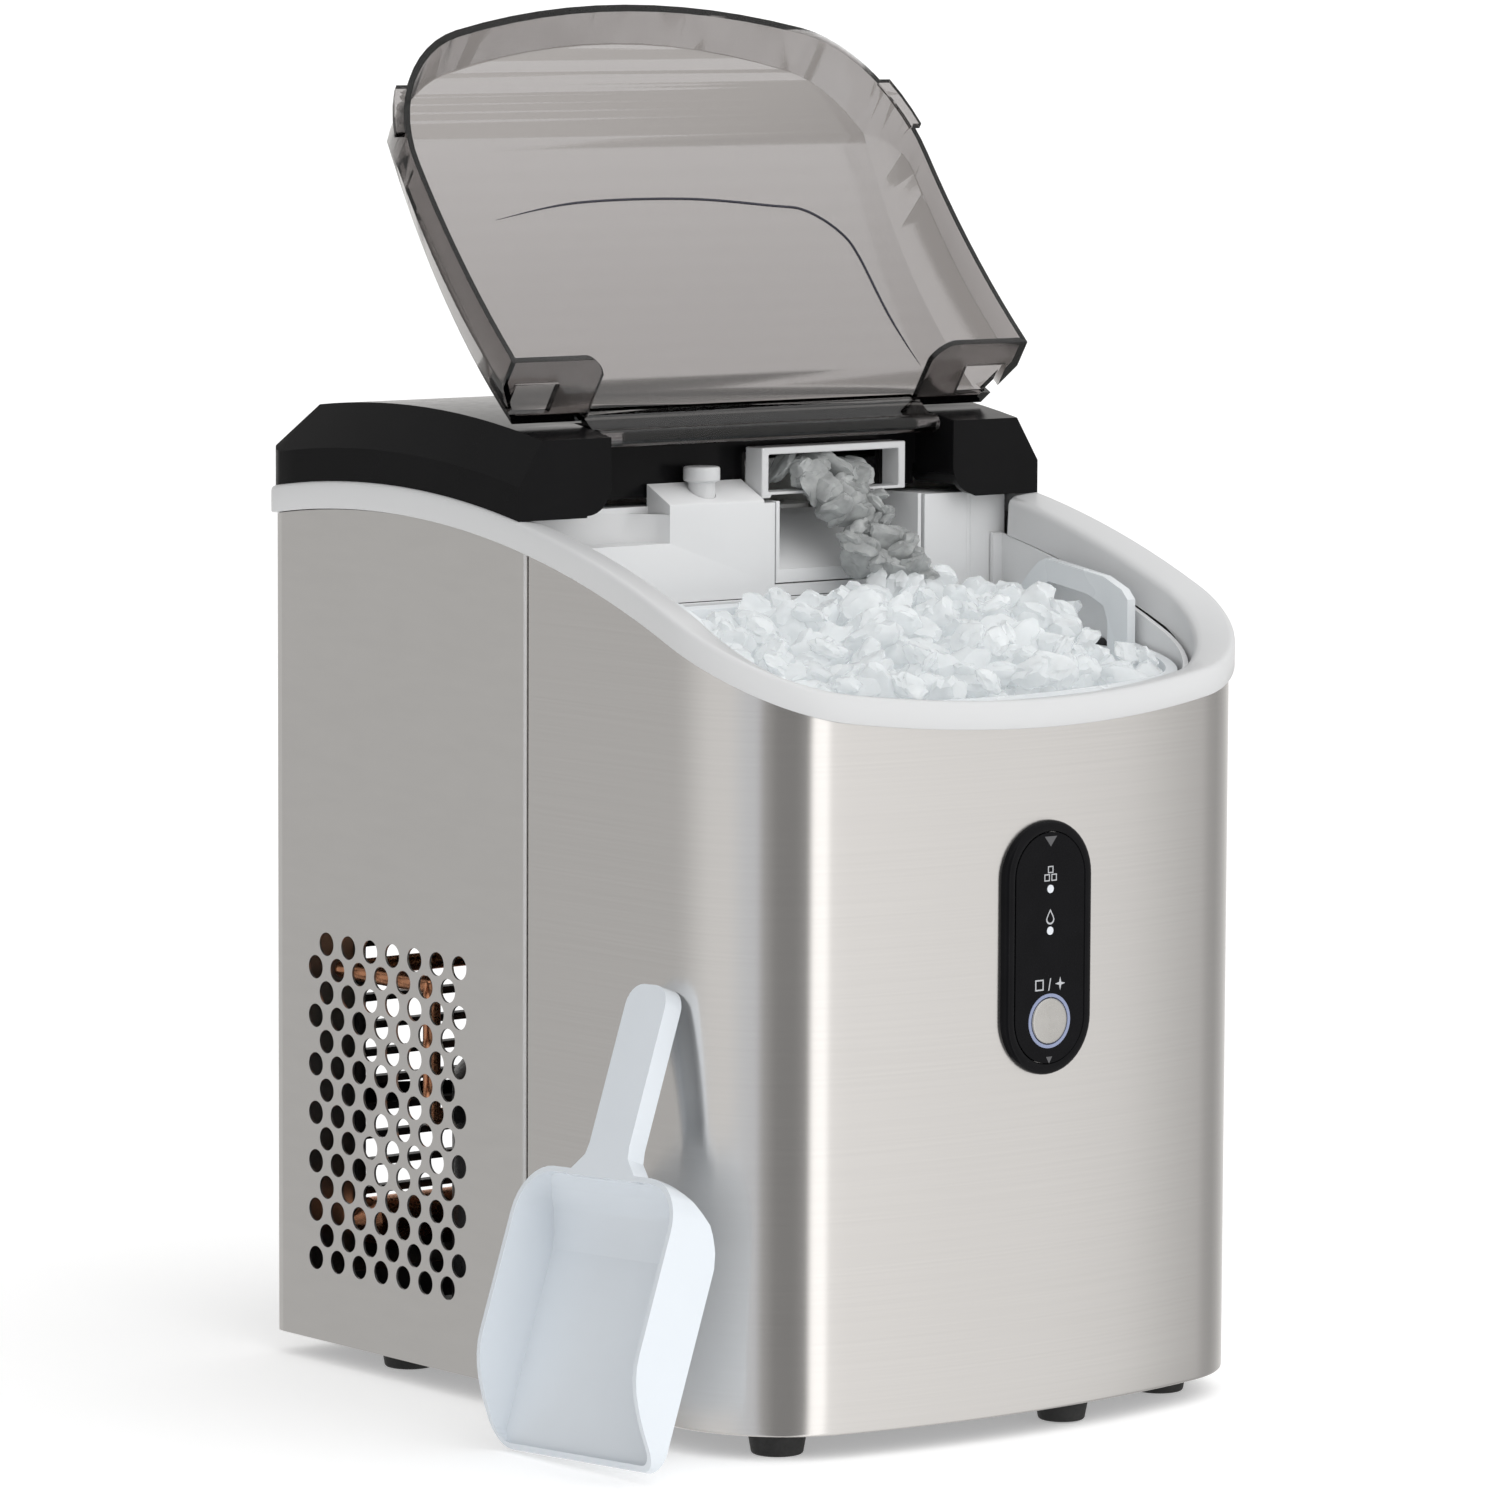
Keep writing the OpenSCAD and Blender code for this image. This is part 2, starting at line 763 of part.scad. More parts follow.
module evaporator_barrel() {
    in_body() color([0.75, 0.76, 0.77]) union() {
        tube(barrel_x, barrel_y, 19, 17, stand_top, barrel_top);
        tube(barrel_x, barrel_y, 30, 17, stand_top, stand_top + 3);
    }
}

// Refrigerant turns wound tightly round the barrel
module evaporator_coil() {
    in_body() color([0.75, 0.42, 0.25])
        for (i = [0:9]) translate([barrel_x, barrel_y, 166 + 9 * i])
            rotate_extrude() translate([22.4, 0]) circle(r = 3, $fn = 24);
}

module evaporator_jacket() {
    in_body() color([0.1, 0.1, 0.1]) tube(barrel_x, barrel_y, 34, 26, 156, 262);
}

// Helical flight: a thin band swept round the shaft
flight_steps = 20;
flight_turns = 3;
flight_pitch = 34;

function flight_ring(i) =
    let (a = 360 * i / flight_steps, z = 160 + flight_pitch * i / flight_steps)
    [for (corner = [[5.5, 0], [16.4, 0], [16.4, 2.6], [5.5, 2.6]])
        [corner[0] * cos(a), corner[0] * sin(a), z + corner[1]]];

module flight() {
    count = flight_steps * flight_turns;
    polyhedron(
        points = [for (i = [0:count]) each flight_ring(i)],
        faces = concat(
            [[2, 1, 0], [3, 2, 0]],
            [for (i = [0:count - 1], k = [0:3], half = [0, 1])
                let (n = (k + 1) % 4, low = 4 * i, high = 4 * i + 4)
                half == 0 ? [high + n, high + k, low + k] : [low + n, high + n, low + k]],
            [[4 * count, 4 * count + 1, 4 * count + 2], [4 * count, 4 * count + 2, 4 * count + 3]]
        ),
        convexity = 6
    );
}

module auger() {
    in_body() color([0.8, 0.8, 0.81]) translate([barrel_x, barrel_y, 0]) union() {
        translate([0, 0, 120]) cylinder(r = 6, h = barrel_top - 116);
        flight();
    }
}

// Nozzle block that presses the flakes into nuggets
module extruder_head() {
    in_body() color([0.9, 0.9, 0.9]) difference() {
        union() {
            post(barrel_x, barrel_y, 24, barrel_top, 292);
            block(barrel_x - 22, barrel_x + 22, 26, barrel_y, 292 - eps, 308);
            post(barrel_x, barrel_y, 22, 292 - eps, 308);
        }
        post(barrel_x, barrel_y, 6.06, 270, 282);
        for (i = [0:7]) translate([barrel_x, barrel_y, 0]) rotate([0, 0, 45 * i])
            post(11.6, 0, 3.2, 270, 300);
        post(barrel_x, barrel_y, 16, 290, 305);
        block(barrel_x - 16, barrel_x + 16, 20, barrel_y, 292, 305);
    }
}

function gear_outline(teeth) = [for (i = [0:teeth - 1], k = [0:3])
    let (pitch = 360 / teeth,
         a = pitch * (i + [-0.34, -0.1, 0.1, 0.34][k]),
         r = gear_module * (teeth / 2 + [-1.2, 0.9, 0.9, -1.2][k]))
        [r * cos(a), r * sin(a)]];

gear_gap = gear_module * (gear_teeth + pinion_teeth) / 2 + 0.15;

module drive_gear() {
    in_body() color([0.85, 0.83, 0.75]) translate([barrel_x, barrel_y, 130]) difference() {
        linear_extrude(10) polygon(gear_outline(gear_teeth));
        translate([0, 0, -1]) cylinder(r = 6.02, h = 12);
    }
}

module motor_pinion() {
    in_body() color([0.7, 0.7, 0.7]) translate([barrel_x + gear_gap, barrel_y, 129]) union() {
        translate([0, 0, 1]) rotate([0, 0, 180 / pinion_teeth])
            linear_extrude(10) polygon(gear_outline(pinion_teeth));
        translate([0, 0, -16]) cylinder(r = 2.5, h = 17.5);
    }
}

module gearbox_case() {
    in_body() color([0.25, 0.26, 0.28]) difference() {
        block(-4, 70, 20, 80, 124, 146);
        block(-1, 67, 23, 77, 127, 143);
        post(barrel_x, barrel_y, 6.06, 110, 150);
        post(barrel_x + gear_gap, barrel_y, 2.56, 110, 128);
    }
}

module gear_motor() {
    in_body() color([0.35, 0.35, 0.37]) difference() {
        post(barrel_x + gear_gap, barrel_y, 20, 84, 123.9);
        post(barrel_x + gear_gap, barrel_y, 2.56, 108, 130);
    }
}

module evaporator_stand() {
    in_body() color([0.7, 0.7, 0.72]) difference() {
        union() {
            block(-9, 91, 18, 82, 146.1, 150);
            for (x = [-9, 89]) block(x, x + 2, 18, 82, pan_top, 150);
        }
        post(barrel_x, barrel_y, 7, 140, 160);
    }
}

/* ---- water ---- */

tank_low = 60;
tank_high = 128;

module water_tank() {
    in_body() color([0.88, 0.9, 0.92]) difference() {
        union() {
            block(-85, 85, -112, -12, tank_low, tank_high);
            for (x = [-78, 78], y = [-104, -20]) post(x, y, 4, pan_top, tank_low + 1);
        }
        block(-83, 83, -110, -14, tank_low + 2, tank_high + 1);
        post(float_x, float_y, 2.02, tank_low - 5, tank_low + 5);
        post(pump_x, pump_y, 4.02, tank_low - 5, tank_low + 5);
    }
}

float_x = -50;
float_y = -60;
pump_x = 40;
pump_y = -60;

module tank_lid() {
    in_body() color([0.9, 0.9, 0.9]) difference() {
        block(-85, 85, -112, -12, tank_high + 0.1, tank_high + 2.1);
        post(0, -70, 6, tank_high - 5, tank_high + 5);
    }
}

module water_pump() {
    in_body() color([0.15, 0.15, 0.16]) difference() {
        union() {
            post(pump_x, pump_y, 20, 24, 50);
            post(pump_x, pump_y, 4, 50 - eps, tank_low + 3);
            rod_y(pump_x, 30, 4, pump_y, pump_y + 32);
            post(pump_x, pump_y, 26, pan_top, 14);
            for (x = [-18, 18]) block(pump_x + x - 2, pump_x + x + 2, pump_y - 6, pump_y + 6, 13, 26);
        }
        difference() {
            post(pump_x, pump_y, 17, 26, 46);
            post(pump_x, pump_y, 1.5, 25, 43);
        }
        post(pump_x, pump_y, 2.2, 45, 70);
        rod_y(pump_x, 30, 2.4, pump_y + 10, pump_y + 40);
    }
}

module pump_impeller() {
    in_body() color([0.9, 0.9, 0.9]) difference() {
        union() {
            post(pump_x, pump_y, 14, 28, 30);
            post(pump_x, pump_y, 4, 30 - eps, 42);
            for (i = [0:5]) translate([pump_x, pump_y, 30 - eps]) rotate([0, 0, 60 * i])
                translate([3, -0.8, 0]) cube([10.8, 1.6, 10]);
        }
        post(pump_x, pump_y, 1.56, 20, 50);
    }
}

module float_stem() {
    in_body() color([0.9, 0.9, 0.88]) union() {
        post(float_x, float_y, 2, tank_low - 4, 116);
        post(float_x, float_y, 6, 116 - eps, 118);
        post(float_x, float_y, 6, tank_low + 2, tank_low + 5);
        post(float_x, float_y, 6, tank_low - 4, tank_low - 0.1);
    }
}

module level_float() {
    in_body() color([0.9, 0.55, 0.2]) tube(float_x, float_y, 11, 2.3, 65.4, 83);
}

module water_hose() {
    in_body() color([0.85, 0.88, 0.9])
        pipe([[pump_x, pump_y + 32.1, 30], [pump_x, 13, 30], [96, 13, 30], [96, 13, 160],
              [96, barrel_y, 160], [62.2, barrel_y, 160]], 3.5);
}

drain_x = 23;
drain_y = -127;

module drain_spout() {
    in_body() color([0.12, 0.12, 0.12]) union() {
        tube(drain_x, drain_y, 5, 3, 3, 26);
        tube(drain_x, drain_y, 7, 3, pan_top, pan_top + 2);
    }
}

module drain_hose() {
    in_body() color([0.85, 0.88, 0.9])
        pipe([[drain_x, drain_y, 26.1], [drain_x, drain_y, 68], [drain_x, -112.1, 68]], 4.5);
}

module drain_cap() {
    in_body() color([0.06, 0.06, 0.06]) difference() {
        translate([drain_x, drain_y, 0.4]) cylinder(r1 = 7.6, r2 = 9, h = 7.3);
        post(drain_x, drain_y, 5.06, 2.4, 20);
    }
}

/* ---- electrics ---- */

module power_inlet() {
    in_body() color([0.08, 0.08, 0.08]) difference() {
        union() {
            block(-13.7, 13.7, back_y - 16, back_y + 0.2, 172.3, 195.7);
            block(-17, 17, back_y + 0.1, back_y + 2.1, 169, 199);
        }
        block(-10.5, 10.5, back_y - 12, back_y + 5, 176, 192);
    }
}

module board_case() {
    in_body() color([0.9, 0.9, 0.88]) difference() {
        block(-98, -20, 94, 130.4, 176, 246);
        block(-96, -18, 96, 128.4, 178, 244);
    }
}

module main_board() {
    in_body() color([0.1, 0.35, 0.2]) union() {
        block(-94, -24, 100, 101.6, 180, 242);
        block(-84, -64, 101.5, 118, 190, 210);
        block(-54, -36, 101.5, 114, 214, 232);
        rod_y(-74, 228, 6, 101.5, 122);
    }
}

/* ---- fastenings ---- */

// Four screws hold the board to the back of the bezel
module panel_screws() {
    in_body() color([0.6, 0.6, 0.62])
        for (spot = board_screws) union() {
            rod_y(spot[0], spot[1], 1.2, front_y + 5.1, front_y + 8);
            rod_y(spot[0], spot[1], 2.4, front_y + 7.85, front_y + 9.4);
        }
}

// Pan-head screws along the back, holding the shell to the frame inside
module shell_screws() {
    in_body() color([0.6, 0.6, 0.62])
        for (x = [-98, 98], z = [20, 160, 276])
            rod_y(x, z, 3.2, back_y + 0.05, back_y + 1.8);
}

/* ---- scoop ---- */

scoop_tip = [-127.7, -88, 2.3];
scoop_turn = 2.8;                                // tilt in its own plane, low corner forward
scoop_wall = 1.8;
handle_w = 20;
handle_t = 6.8;

// Plan of the bowl: tip at y = 0, handle end at y = scoop_l
function bowl_plan(inset) = concat(
    arc(scoop_w / 2 - 7, 7, 7 - inset, -90, 0, 6),
    arc(scoop_w / 2 - 16, scoop_l - 16, 16 - inset, 0, 90, 8),
    arc(-scoop_w / 2 + 16, scoop_l - 16, 16 - inset, 90, 180, 8),
    arc(-scoop_w / 2 + 7, 7, 7 - inset, 180, 270, 6)
);

// The side walls rise from the tip in a quarter wave
function bowl_edge() = [for (i = [0:9]) [34 * i / 9, scoop_wall + (scoop_depth - scoop_wall) * sin(10 * i)]];

module side_profile(points) {
    rotate([90, 0, 90]) translate([0, 0, -80]) linear_extrude(160) polygon(points);
}

module bowl() {
    difference() {
        intersection() {
            linear_extrude(scoop_depth) polygon(bowl_plan(0));
            side_profile(concat([[0, 0]], bowl_edge(), [[scoop_l, scoop_depth], [scoop_l - 0.6, scoop_depth - 4],
                [scoop_l - 4, scoop_depth - 10], [scoop_l - 10, scoop_depth - 16], [scoop_l - 18, 1.2],
                [scoop_l - 23, 0]]));
        }
        intersection() {
            translate([0, 0, scoop_wall]) linear_extrude(40) polygon(bowl_plan(scoop_wall));
            side_profile([[-5, -5], [-5, 40], [scoop_l, 40], [scoop_l, scoop_depth],
                [scoop_l - 2.4, scoop_depth - 3.6], [scoop_l - 5.6, scoop_depth - 9], [scoop_l - 11.4, scoop_depth - 14.8],
                [scoop_l - 18.6, scoop_wall + 1.1], [scoop_l - 24, scoop_wall], [scoop_l - 24, -5]]);
        }
    }
}

module handle_plan() {
    end = scoop_l + scoop_handle;
    polygon(concat([[-18, scoop_l - 2], [-handle_w / 2 - 0.8, scoop_l + 5], [-handle_w / 2, scoop_l + 9]],
        [for (p = arc(-handle_w / 2 + 7, end - 7, 7, 180, 90, 6)) p],
        [for (p = arc(handle_w / 2 - 7, end - 7, 7, 90, 0, 6)) p],
        [[handle_w / 2, scoop_l + 9], [handle_w / 2 + 0.8, scoop_l + 5], [18, scoop_l - 2]]));
}

module handle() {
    difference() {
        translate([0, 0, scoop_depth - handle_t]) linear_extrude(handle_t) handle_plan();
        translate([-handle_w / 2 + 2, scoop_l + 8, scoop_depth - handle_t - 1])
            cube([handle_w - 4, scoop_handle - 15, handle_t - 1]);
        // the neck thins to the bowl's edge
        translate([-30, scoop_l - 3, scoop_depth - handle_t - 0.1]) rotate([-40, 0, 0]) translate([0, -20, -20])
            cube([60, 29, 20]);
    }
}

module scoop() {
    color([0.88, 0.91, 0.95]) translate(scoop_tip)
        rotate([0, scoop_lean, 0]) rotate([0, 0, -90]) rotate([90, 0, 0]) rotate([0, 0, scoop_turn])
            union() {
                bowl();
                handle();
            }
}

front_wrap();
rear_shell();
base_pan();
feet();
top_rim();
rear_cover();
rear_grille();
bin_liner();
bin_back();
chute_frame();
ice_chute();
vent_cap();
ice_sensor();
panel_bezel();
panel_face();
led_lenses();
button_ring();
button();
control_board();
hinge_pins();
lid();
ice_basket();
liner_foam();
compressor();
compressor_mounts();
compressor_relay();
condenser();
condenser_fins();
fan_shroud();
fan_motor();
fan_blade();
discharge_line();
suction_line();
filter_drier();
evaporator_barrel();
evaporator_coil();
evaporator_jacket();
auger();
extruder_head();
gearbox_case();
drive_gear();
motor_pinion();
gear_motor();
evaporator_stand();
water_tank();
tank_lid();
water_pump();
pump_impeller();
float_stem();
level_float();
water_hose();
drain_spout();
drain_hose();
drain_cap();
power_inlet();
main_board();
board_case();
panel_screws();
shell_screws();
scoop();
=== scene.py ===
import json
import math
import random

import bmesh
import bpy
from mathutils import Matrix, Vector, noise


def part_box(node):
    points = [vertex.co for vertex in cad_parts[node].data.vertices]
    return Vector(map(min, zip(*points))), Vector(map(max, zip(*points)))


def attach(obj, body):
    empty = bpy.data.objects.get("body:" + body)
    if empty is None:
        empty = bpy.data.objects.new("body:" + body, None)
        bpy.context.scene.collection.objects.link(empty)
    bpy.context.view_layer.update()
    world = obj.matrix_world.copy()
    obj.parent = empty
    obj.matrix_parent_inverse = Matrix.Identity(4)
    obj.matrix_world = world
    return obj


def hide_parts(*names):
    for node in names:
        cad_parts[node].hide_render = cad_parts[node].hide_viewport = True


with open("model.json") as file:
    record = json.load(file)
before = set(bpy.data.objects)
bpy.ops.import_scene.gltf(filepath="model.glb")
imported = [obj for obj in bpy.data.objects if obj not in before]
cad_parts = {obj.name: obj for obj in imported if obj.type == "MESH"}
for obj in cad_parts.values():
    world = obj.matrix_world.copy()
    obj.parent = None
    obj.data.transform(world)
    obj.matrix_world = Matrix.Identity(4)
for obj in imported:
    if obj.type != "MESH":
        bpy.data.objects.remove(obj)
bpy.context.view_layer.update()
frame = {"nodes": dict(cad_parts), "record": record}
nodes = frame["nodes"]

# ---------------------------------------------------------------- cabinet measures, mm
MM = 0.001                                      # metres in one
shell_low, shell_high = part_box("rear_shell")
HALF_W = (shell_high.x - shell_low.x) / 2 / MM
FRONT_Y, BACK_Y = -143.0, 131.6                 # the bow's foremost line and the back face
BODY_X = (shell_low.x + shell_high.x) / 2 / MM  # the cabinet's own origin in the frame
BODY_Y = shell_high.y / MM - BACK_Y
FOOT_H = shell_low.z / MM                       # the steel starts here, above the feet
SEAM_Y, SEAM_GAP = -13.4, 0.15                  # the front wrap ends just short of the rear shell
CORNER_R, BACK_CORNER_R = 46.0, 8.0
BOW = 17.6                                      # how far the front bulges across its width
CORNER_X = HALF_W - CORNER_R
BOW_R = (HALF_W ** 2 + BOW ** 2) / (2 * BOW)
BOW_CY = FRONT_Y + BOW_R
CORNER_Y = BOW_CY - math.sqrt((BOW_R - CORNER_R) ** 2 - CORNER_X ** 2)
BOW_A = math.degrees(math.acos(CORNER_X / (BOW_R - CORNER_R)))
EDGE_Y, EDGE_TOP, EDGE_R = 70.0, 293.4, 400.0   # the steel's top edge is one long arc
EDGE_GAP = 0.1                                  # between the steel and the white rim
RIM_STEP_Y, RIM_STEP = -9.0, 3.0                # the rim narrows here, over this length
HINGE = (-0.6, 319.6)                           # y and z of the lid's pins
LID_OPEN = math.radians(147.8)
LID_Y, LID_Z, LID_R = 30.5, 62.9, 260.0         # centre and radius of the closed lid's skin
BUTTON_Z, BEZEL_Z = 136.5, 160.3
PANEL_OUT = FRONT_Y - 2.6
BASKET_HALF_W, BASKET_BACK_Y = 90.4, -15.0      # inside of the ice basket
BASKET_INSET = 21.0                             # from the steel's front and corners


def cab(x, y, z):
    """A point given in the cabinet's own millimetres, in metres of the frame."""
    return Vector(((x + BODY_X) * MM, (y + BODY_Y) * MM, z * MM))


def edge_z(y):
    """Height of the steel's top edge."""
    return EDGE_TOP - EDGE_R + math.sqrt(EDGE_R ** 2 - (y - EDGE_Y) ** 2)


def lid_opened(x, y, z):
    """Where a point of the closed lid goes when the lid stands open."""
    c, s = math.cos(LID_OPEN), math.sin(LID_OPEN)
    dy, dz = y - HINGE[0], z - HINGE[1]
    return (x, HINGE[0] + dy * c + dz * s, HINGE[1] - dy * s + dz * c)


# ---------------------------------------------------------------- mesh helpers
def linked(name, data):
    """A new object in the scene."""
    obj = bpy.data.objects.new(name, data)
    bpy.context.collection.objects.link(obj)
    return obj


def new_object(name, verts, faces, material, smooth=True, sharp=None):
    """A mesh with outward normals, and edges over the angle sharp kept crisp."""
    mesh = bpy.data.meshes.new(name)
    mesh.from_pydata([tuple(v) for v in verts], [], faces)
    mesh.validate()
    mesh.materials.append(material)
    obj = linked(name, mesh)
    bm = bmesh.new()
    bm.from_mesh(mesh)
    bmesh.ops.recalc_face_normals(bm, faces=bm.faces)
    bm.to_mesh(mesh)
    bm.free()
    for p in mesh.polygons:
        p.use_smooth = smooth
    if sharp is not None:
        mesh.set_sharp_from_angle(angle=math.radians(sharp))
    return obj


def grid(name, rows, material, close_u=False, close_v=False, caps=False, sharp=None):
    """A skin through rows of points; u runs along a row and v from row to row."""
    nv, nu = len(rows), len(rows[0])
    verts = [p for row in rows for p in row]
    faces = []
    for v in range(nv if close_v else nv - 1):
        for u in range(nu if close_u else nu - 1):
            a, b = v * nu + u, v * nu + (u + 1) % nu
            c, d = ((v + 1) % nv) * nu + (u + 1) % nu, ((v + 1) % nv) * nu + u
            faces.append((a, b, c, d))
    if caps:
        faces.append(tuple(range(nu)))
        faces.append(tuple(reversed(range((nv - 1) * nu, nv * nu))))
    return new_object(name, verts, faces, material, sharp=sharp)


def arc_points(cx, cy, r, a0, a1, n):
    """An arc in plan from a0 to a1 degrees: x, y and outward normal."""
    out = []
    for i in range(n + 1):
        a = math.radians(a0 + (a1 - a0) * i / n)
        out.append((cx + r * math.cos(a), cy + r * math.sin(a), math.cos(a), math.sin(a)))
    return out


def front_outline(y_end):
    """Left side from y_end, round the bowed front, to y_end on the right: x, y and outward normal."""
    left = [(-HALF_W, y_end + (CORNER_Y - y_end) * i / 10, -1.0, 0.0) for i in range(10)]
    right = [(HALF_W, CORNER_Y + (y_end - CORNER_Y) * i / 10, 1.0, 0.0) for i in range(1, 11)]
    return (left + arc_points(-CORNER_X, CORNER_Y, CORNER_R, 180, 180 + BOW_A, 36)
            + arc_points(0, BOW_CY, BOW_R, 180 + BOW_A, 360 - BOW_A, 48)[1:-1]
            + arc_points(CORNER_X, CORNER_Y, CORNER_R, 360 - BOW_A, 360, 36) + right)


def full_outline():
    """The cabinet's whole plan outline: x, y and outward normal."""
    yb, xb = BACK_Y - BACK_CORNER_R, HALF_W - BACK_CORNER_R
    side_start = 4.0
    side_ys = [-7.0, -4.0] + [side_start + (yb - side_start) * i / 22 for i in range(23)]
    right = [(HALF_W, y, 1.0, 0.0) for y in side_ys]
    left = [(-HALF_W, y, -1.0, 0.0) for y in reversed(side_ys)]
    right_corner = arc_points(xb, yb, BACK_CORNER_R, 0, 90, 8)[1:]
    back = [(xb - 2 * xb * i / 12, BACK_Y, 0.0, 1.0) for i in range(1, 12)]
    left_corner = arc_points(-xb, yb, BACK_CORNER_R, 90, 180, 8)[:-1]
    return front_outline(RIM_STEP_Y) + right + right_corner + back + left_corner + left


def cad_copy(node, name, material, width, segments, angle=30.0, dissolve=0.6):
    """A piece made from a CAD node's shape and standing in for it, its edges rounded to width mm."""
    same_point, crisp = 0.00002, 40
    mesh = nodes[node].data.copy()
    mesh.materials.clear()
    mesh.materials.append(material)
    obj = linked(name, mesh)
    bm = bmesh.new()
    bm.from_mesh(mesh)
    bmesh.ops.remove_doubles(bm, verts=bm.verts, dist=same_point)
    bmesh.ops.dissolve_limit(bm, angle_limit=math.radians(dissolve), use_dissolve_boundaries=False,
                             verts=bm.verts, edges=bm.edges)
    bmesh.ops.recalc_face_normals(bm, faces=bm.faces)
    bm.to_mesh(mesh)
    bm.free()
    for p in mesh.polygons:
        p.use_smooth = True
        p.material_index = 0
    bevel = obj.modifiers.new("edges", "BEVEL")
    bevel.width = width * MM
    bevel.segments = segments
    bevel.limit_method = "ANGLE"
    bevel.angle_limit = math.radians(angle)
    bevel.use_clamp_overlap = True
    bevel.harden_normals = True
    bevel.miter_outer = "MITER_ARC"
    mesh.set_sharp_from_angle(angle=math.radians(crisp))
    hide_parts(node)
    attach(obj, body_of_node(node))
    return obj


def body_of_node(node):
    for body, members in frame["record"]["behaviour"]["bodies"].items():
        if node in members:
            return body
    return "cabinet"


def placed(obj, body, slot, *replaced):
    """Puts a piece on its body, in place of the CAD nodes named; the slot argument is not used."""
    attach(obj, body)
    if replaced:
        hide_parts(*replaced)
    return obj


# ---------------------------------------------------------------- materials
PLASTIC_IOR, CLEAR_IOR, ICE_IOR = 1.46, 1.49, 1.31
NOISE_LOW, NOISE_HIGH = 0.3, 0.7                # nearly all of a noise texture's values lie between
RELIEF_HEIGHT = 0.0002                          # metres, at full strength


def add_node(tree, kind, values=None, links=None, **settings):
    """A shader node with its settings, socket values and incoming links."""
    node = tree.nodes.new("ShaderNode" + kind)
    for key, value in settings.items():
        setattr(node, key, value)
    for key, value in (values or {}).items():
        node.inputs[key].default_value = value
    for key, source in (links or {}).items():
        tree.links.new(source, node.inputs[key])
    return node


def shader(m):
    return m.node_tree.nodes["Principled BSDF"]


def surface(name, base, rough, metal=0.0, vary=0.03, rough_vary=0.05, size=0.03, bump=0.0, bump_size=0.001,
            stretch=(1, 1, 1), bump_stretch=None):
    """A shader whose colour, roughness and relief come from noise of a stated size in metres."""
    m = bpy.data.materials.new(name)
    m.use_nodes = True
    nt = m.node_tree
    b = shader(m)
    b.inputs["Metallic"].default_value = metal
    b.inputs["IOR"].default_value = PLASTIC_IOR
    coord = add_node(nt, "TexCoord")

    def noise_of(detail_size, squeeze, detail):
        mapping = add_node(nt, "Mapping", {"Scale": tuple(s / detail_size for s in squeeze)},
                           {"Vector": coord.outputs["Object"]})
        texture = add_node(nt, "TexNoise", {"Scale": 1.0, "Detail": detail}, {"Vector": mapping.outputs["Vector"]})
        return texture.outputs["Fac"]

    ramp = add_node(nt, "ValToRGB", links={"Fac": noise_of(size, stretch, 3.0)})
    for stop, position, change in zip(ramp.color_ramp.elements, (NOISE_LOW, NOISE_HIGH), (-vary, vary)):
        stop.position = position
        stop.color = tuple(min(1.0, max(0.0, c * (1 + change))) for c in base) + (1,)
    nt.links.new(ramp.outputs["Color"], b.inputs["Base Color"])
    fine = noise_of(bump_size, bump_stretch or stretch, 4.0)
    spread = add_node(nt, "MapRange", {"From Min": NOISE_LOW, "From Max": NOISE_HIGH,
                                       "To Min": max(0.0, rough - rough_vary),
                                       "To Max": min(1.0, rough + rough_vary)}, {"Value": fine})
    nt.links.new(spread.outputs["Result"], b.inputs["Roughness"])
    if bump:
        relief = add_node(nt, "Bump", {"Strength": bump, "Distance": RELIEF_HEIGHT}, {"Height": fine})
        nt.links.new(relief.outputs["Normal"], b.inputs["Normal"])
    return m


def brushed(m, amount, turn, axis="Z"):
    """Draws the highlights out along or across circles about an axis, as brushing does."""
    b = shader(m)
    b.inputs["Anisotropic"].default_value = amount
    b.inputs["Anisotropic Rotation"].default_value = turn
    tangent = add_node(m.node_tree, "Tangent", direction_type="RADIAL", axis=axis)
    m.node_tree.links.new(tangent.outputs["Tangent"], b.inputs["Tangent"])
    return m


def clear(m, ior, absorb=None, density=0.0, transmission=1.0):
    """Turns a surface into clear plastic or ice, with colour taken from its thickness."""
    nt = m.node_tree
    shader(m).inputs["Transmission Weight"].default_value = transmission
    shader(m).inputs["IOR"].default_value = ior
    if absorb:
        volume = add_node(nt, "VolumeAbsorption", {"Color": absorb + (1,), "Density": density})
        out = [n for n in nt.nodes if n.type == "OUTPUT_MATERIAL"][0]
        nt.links.new(volume.outputs["Volume"], out.inputs["Volume"])
    return m


def glowing(m, colour, strength):
    shader(m).inputs["Emission Color"].default_value = colour + (1,)
    shader(m).inputs["Emission Strength"].default_value = strength


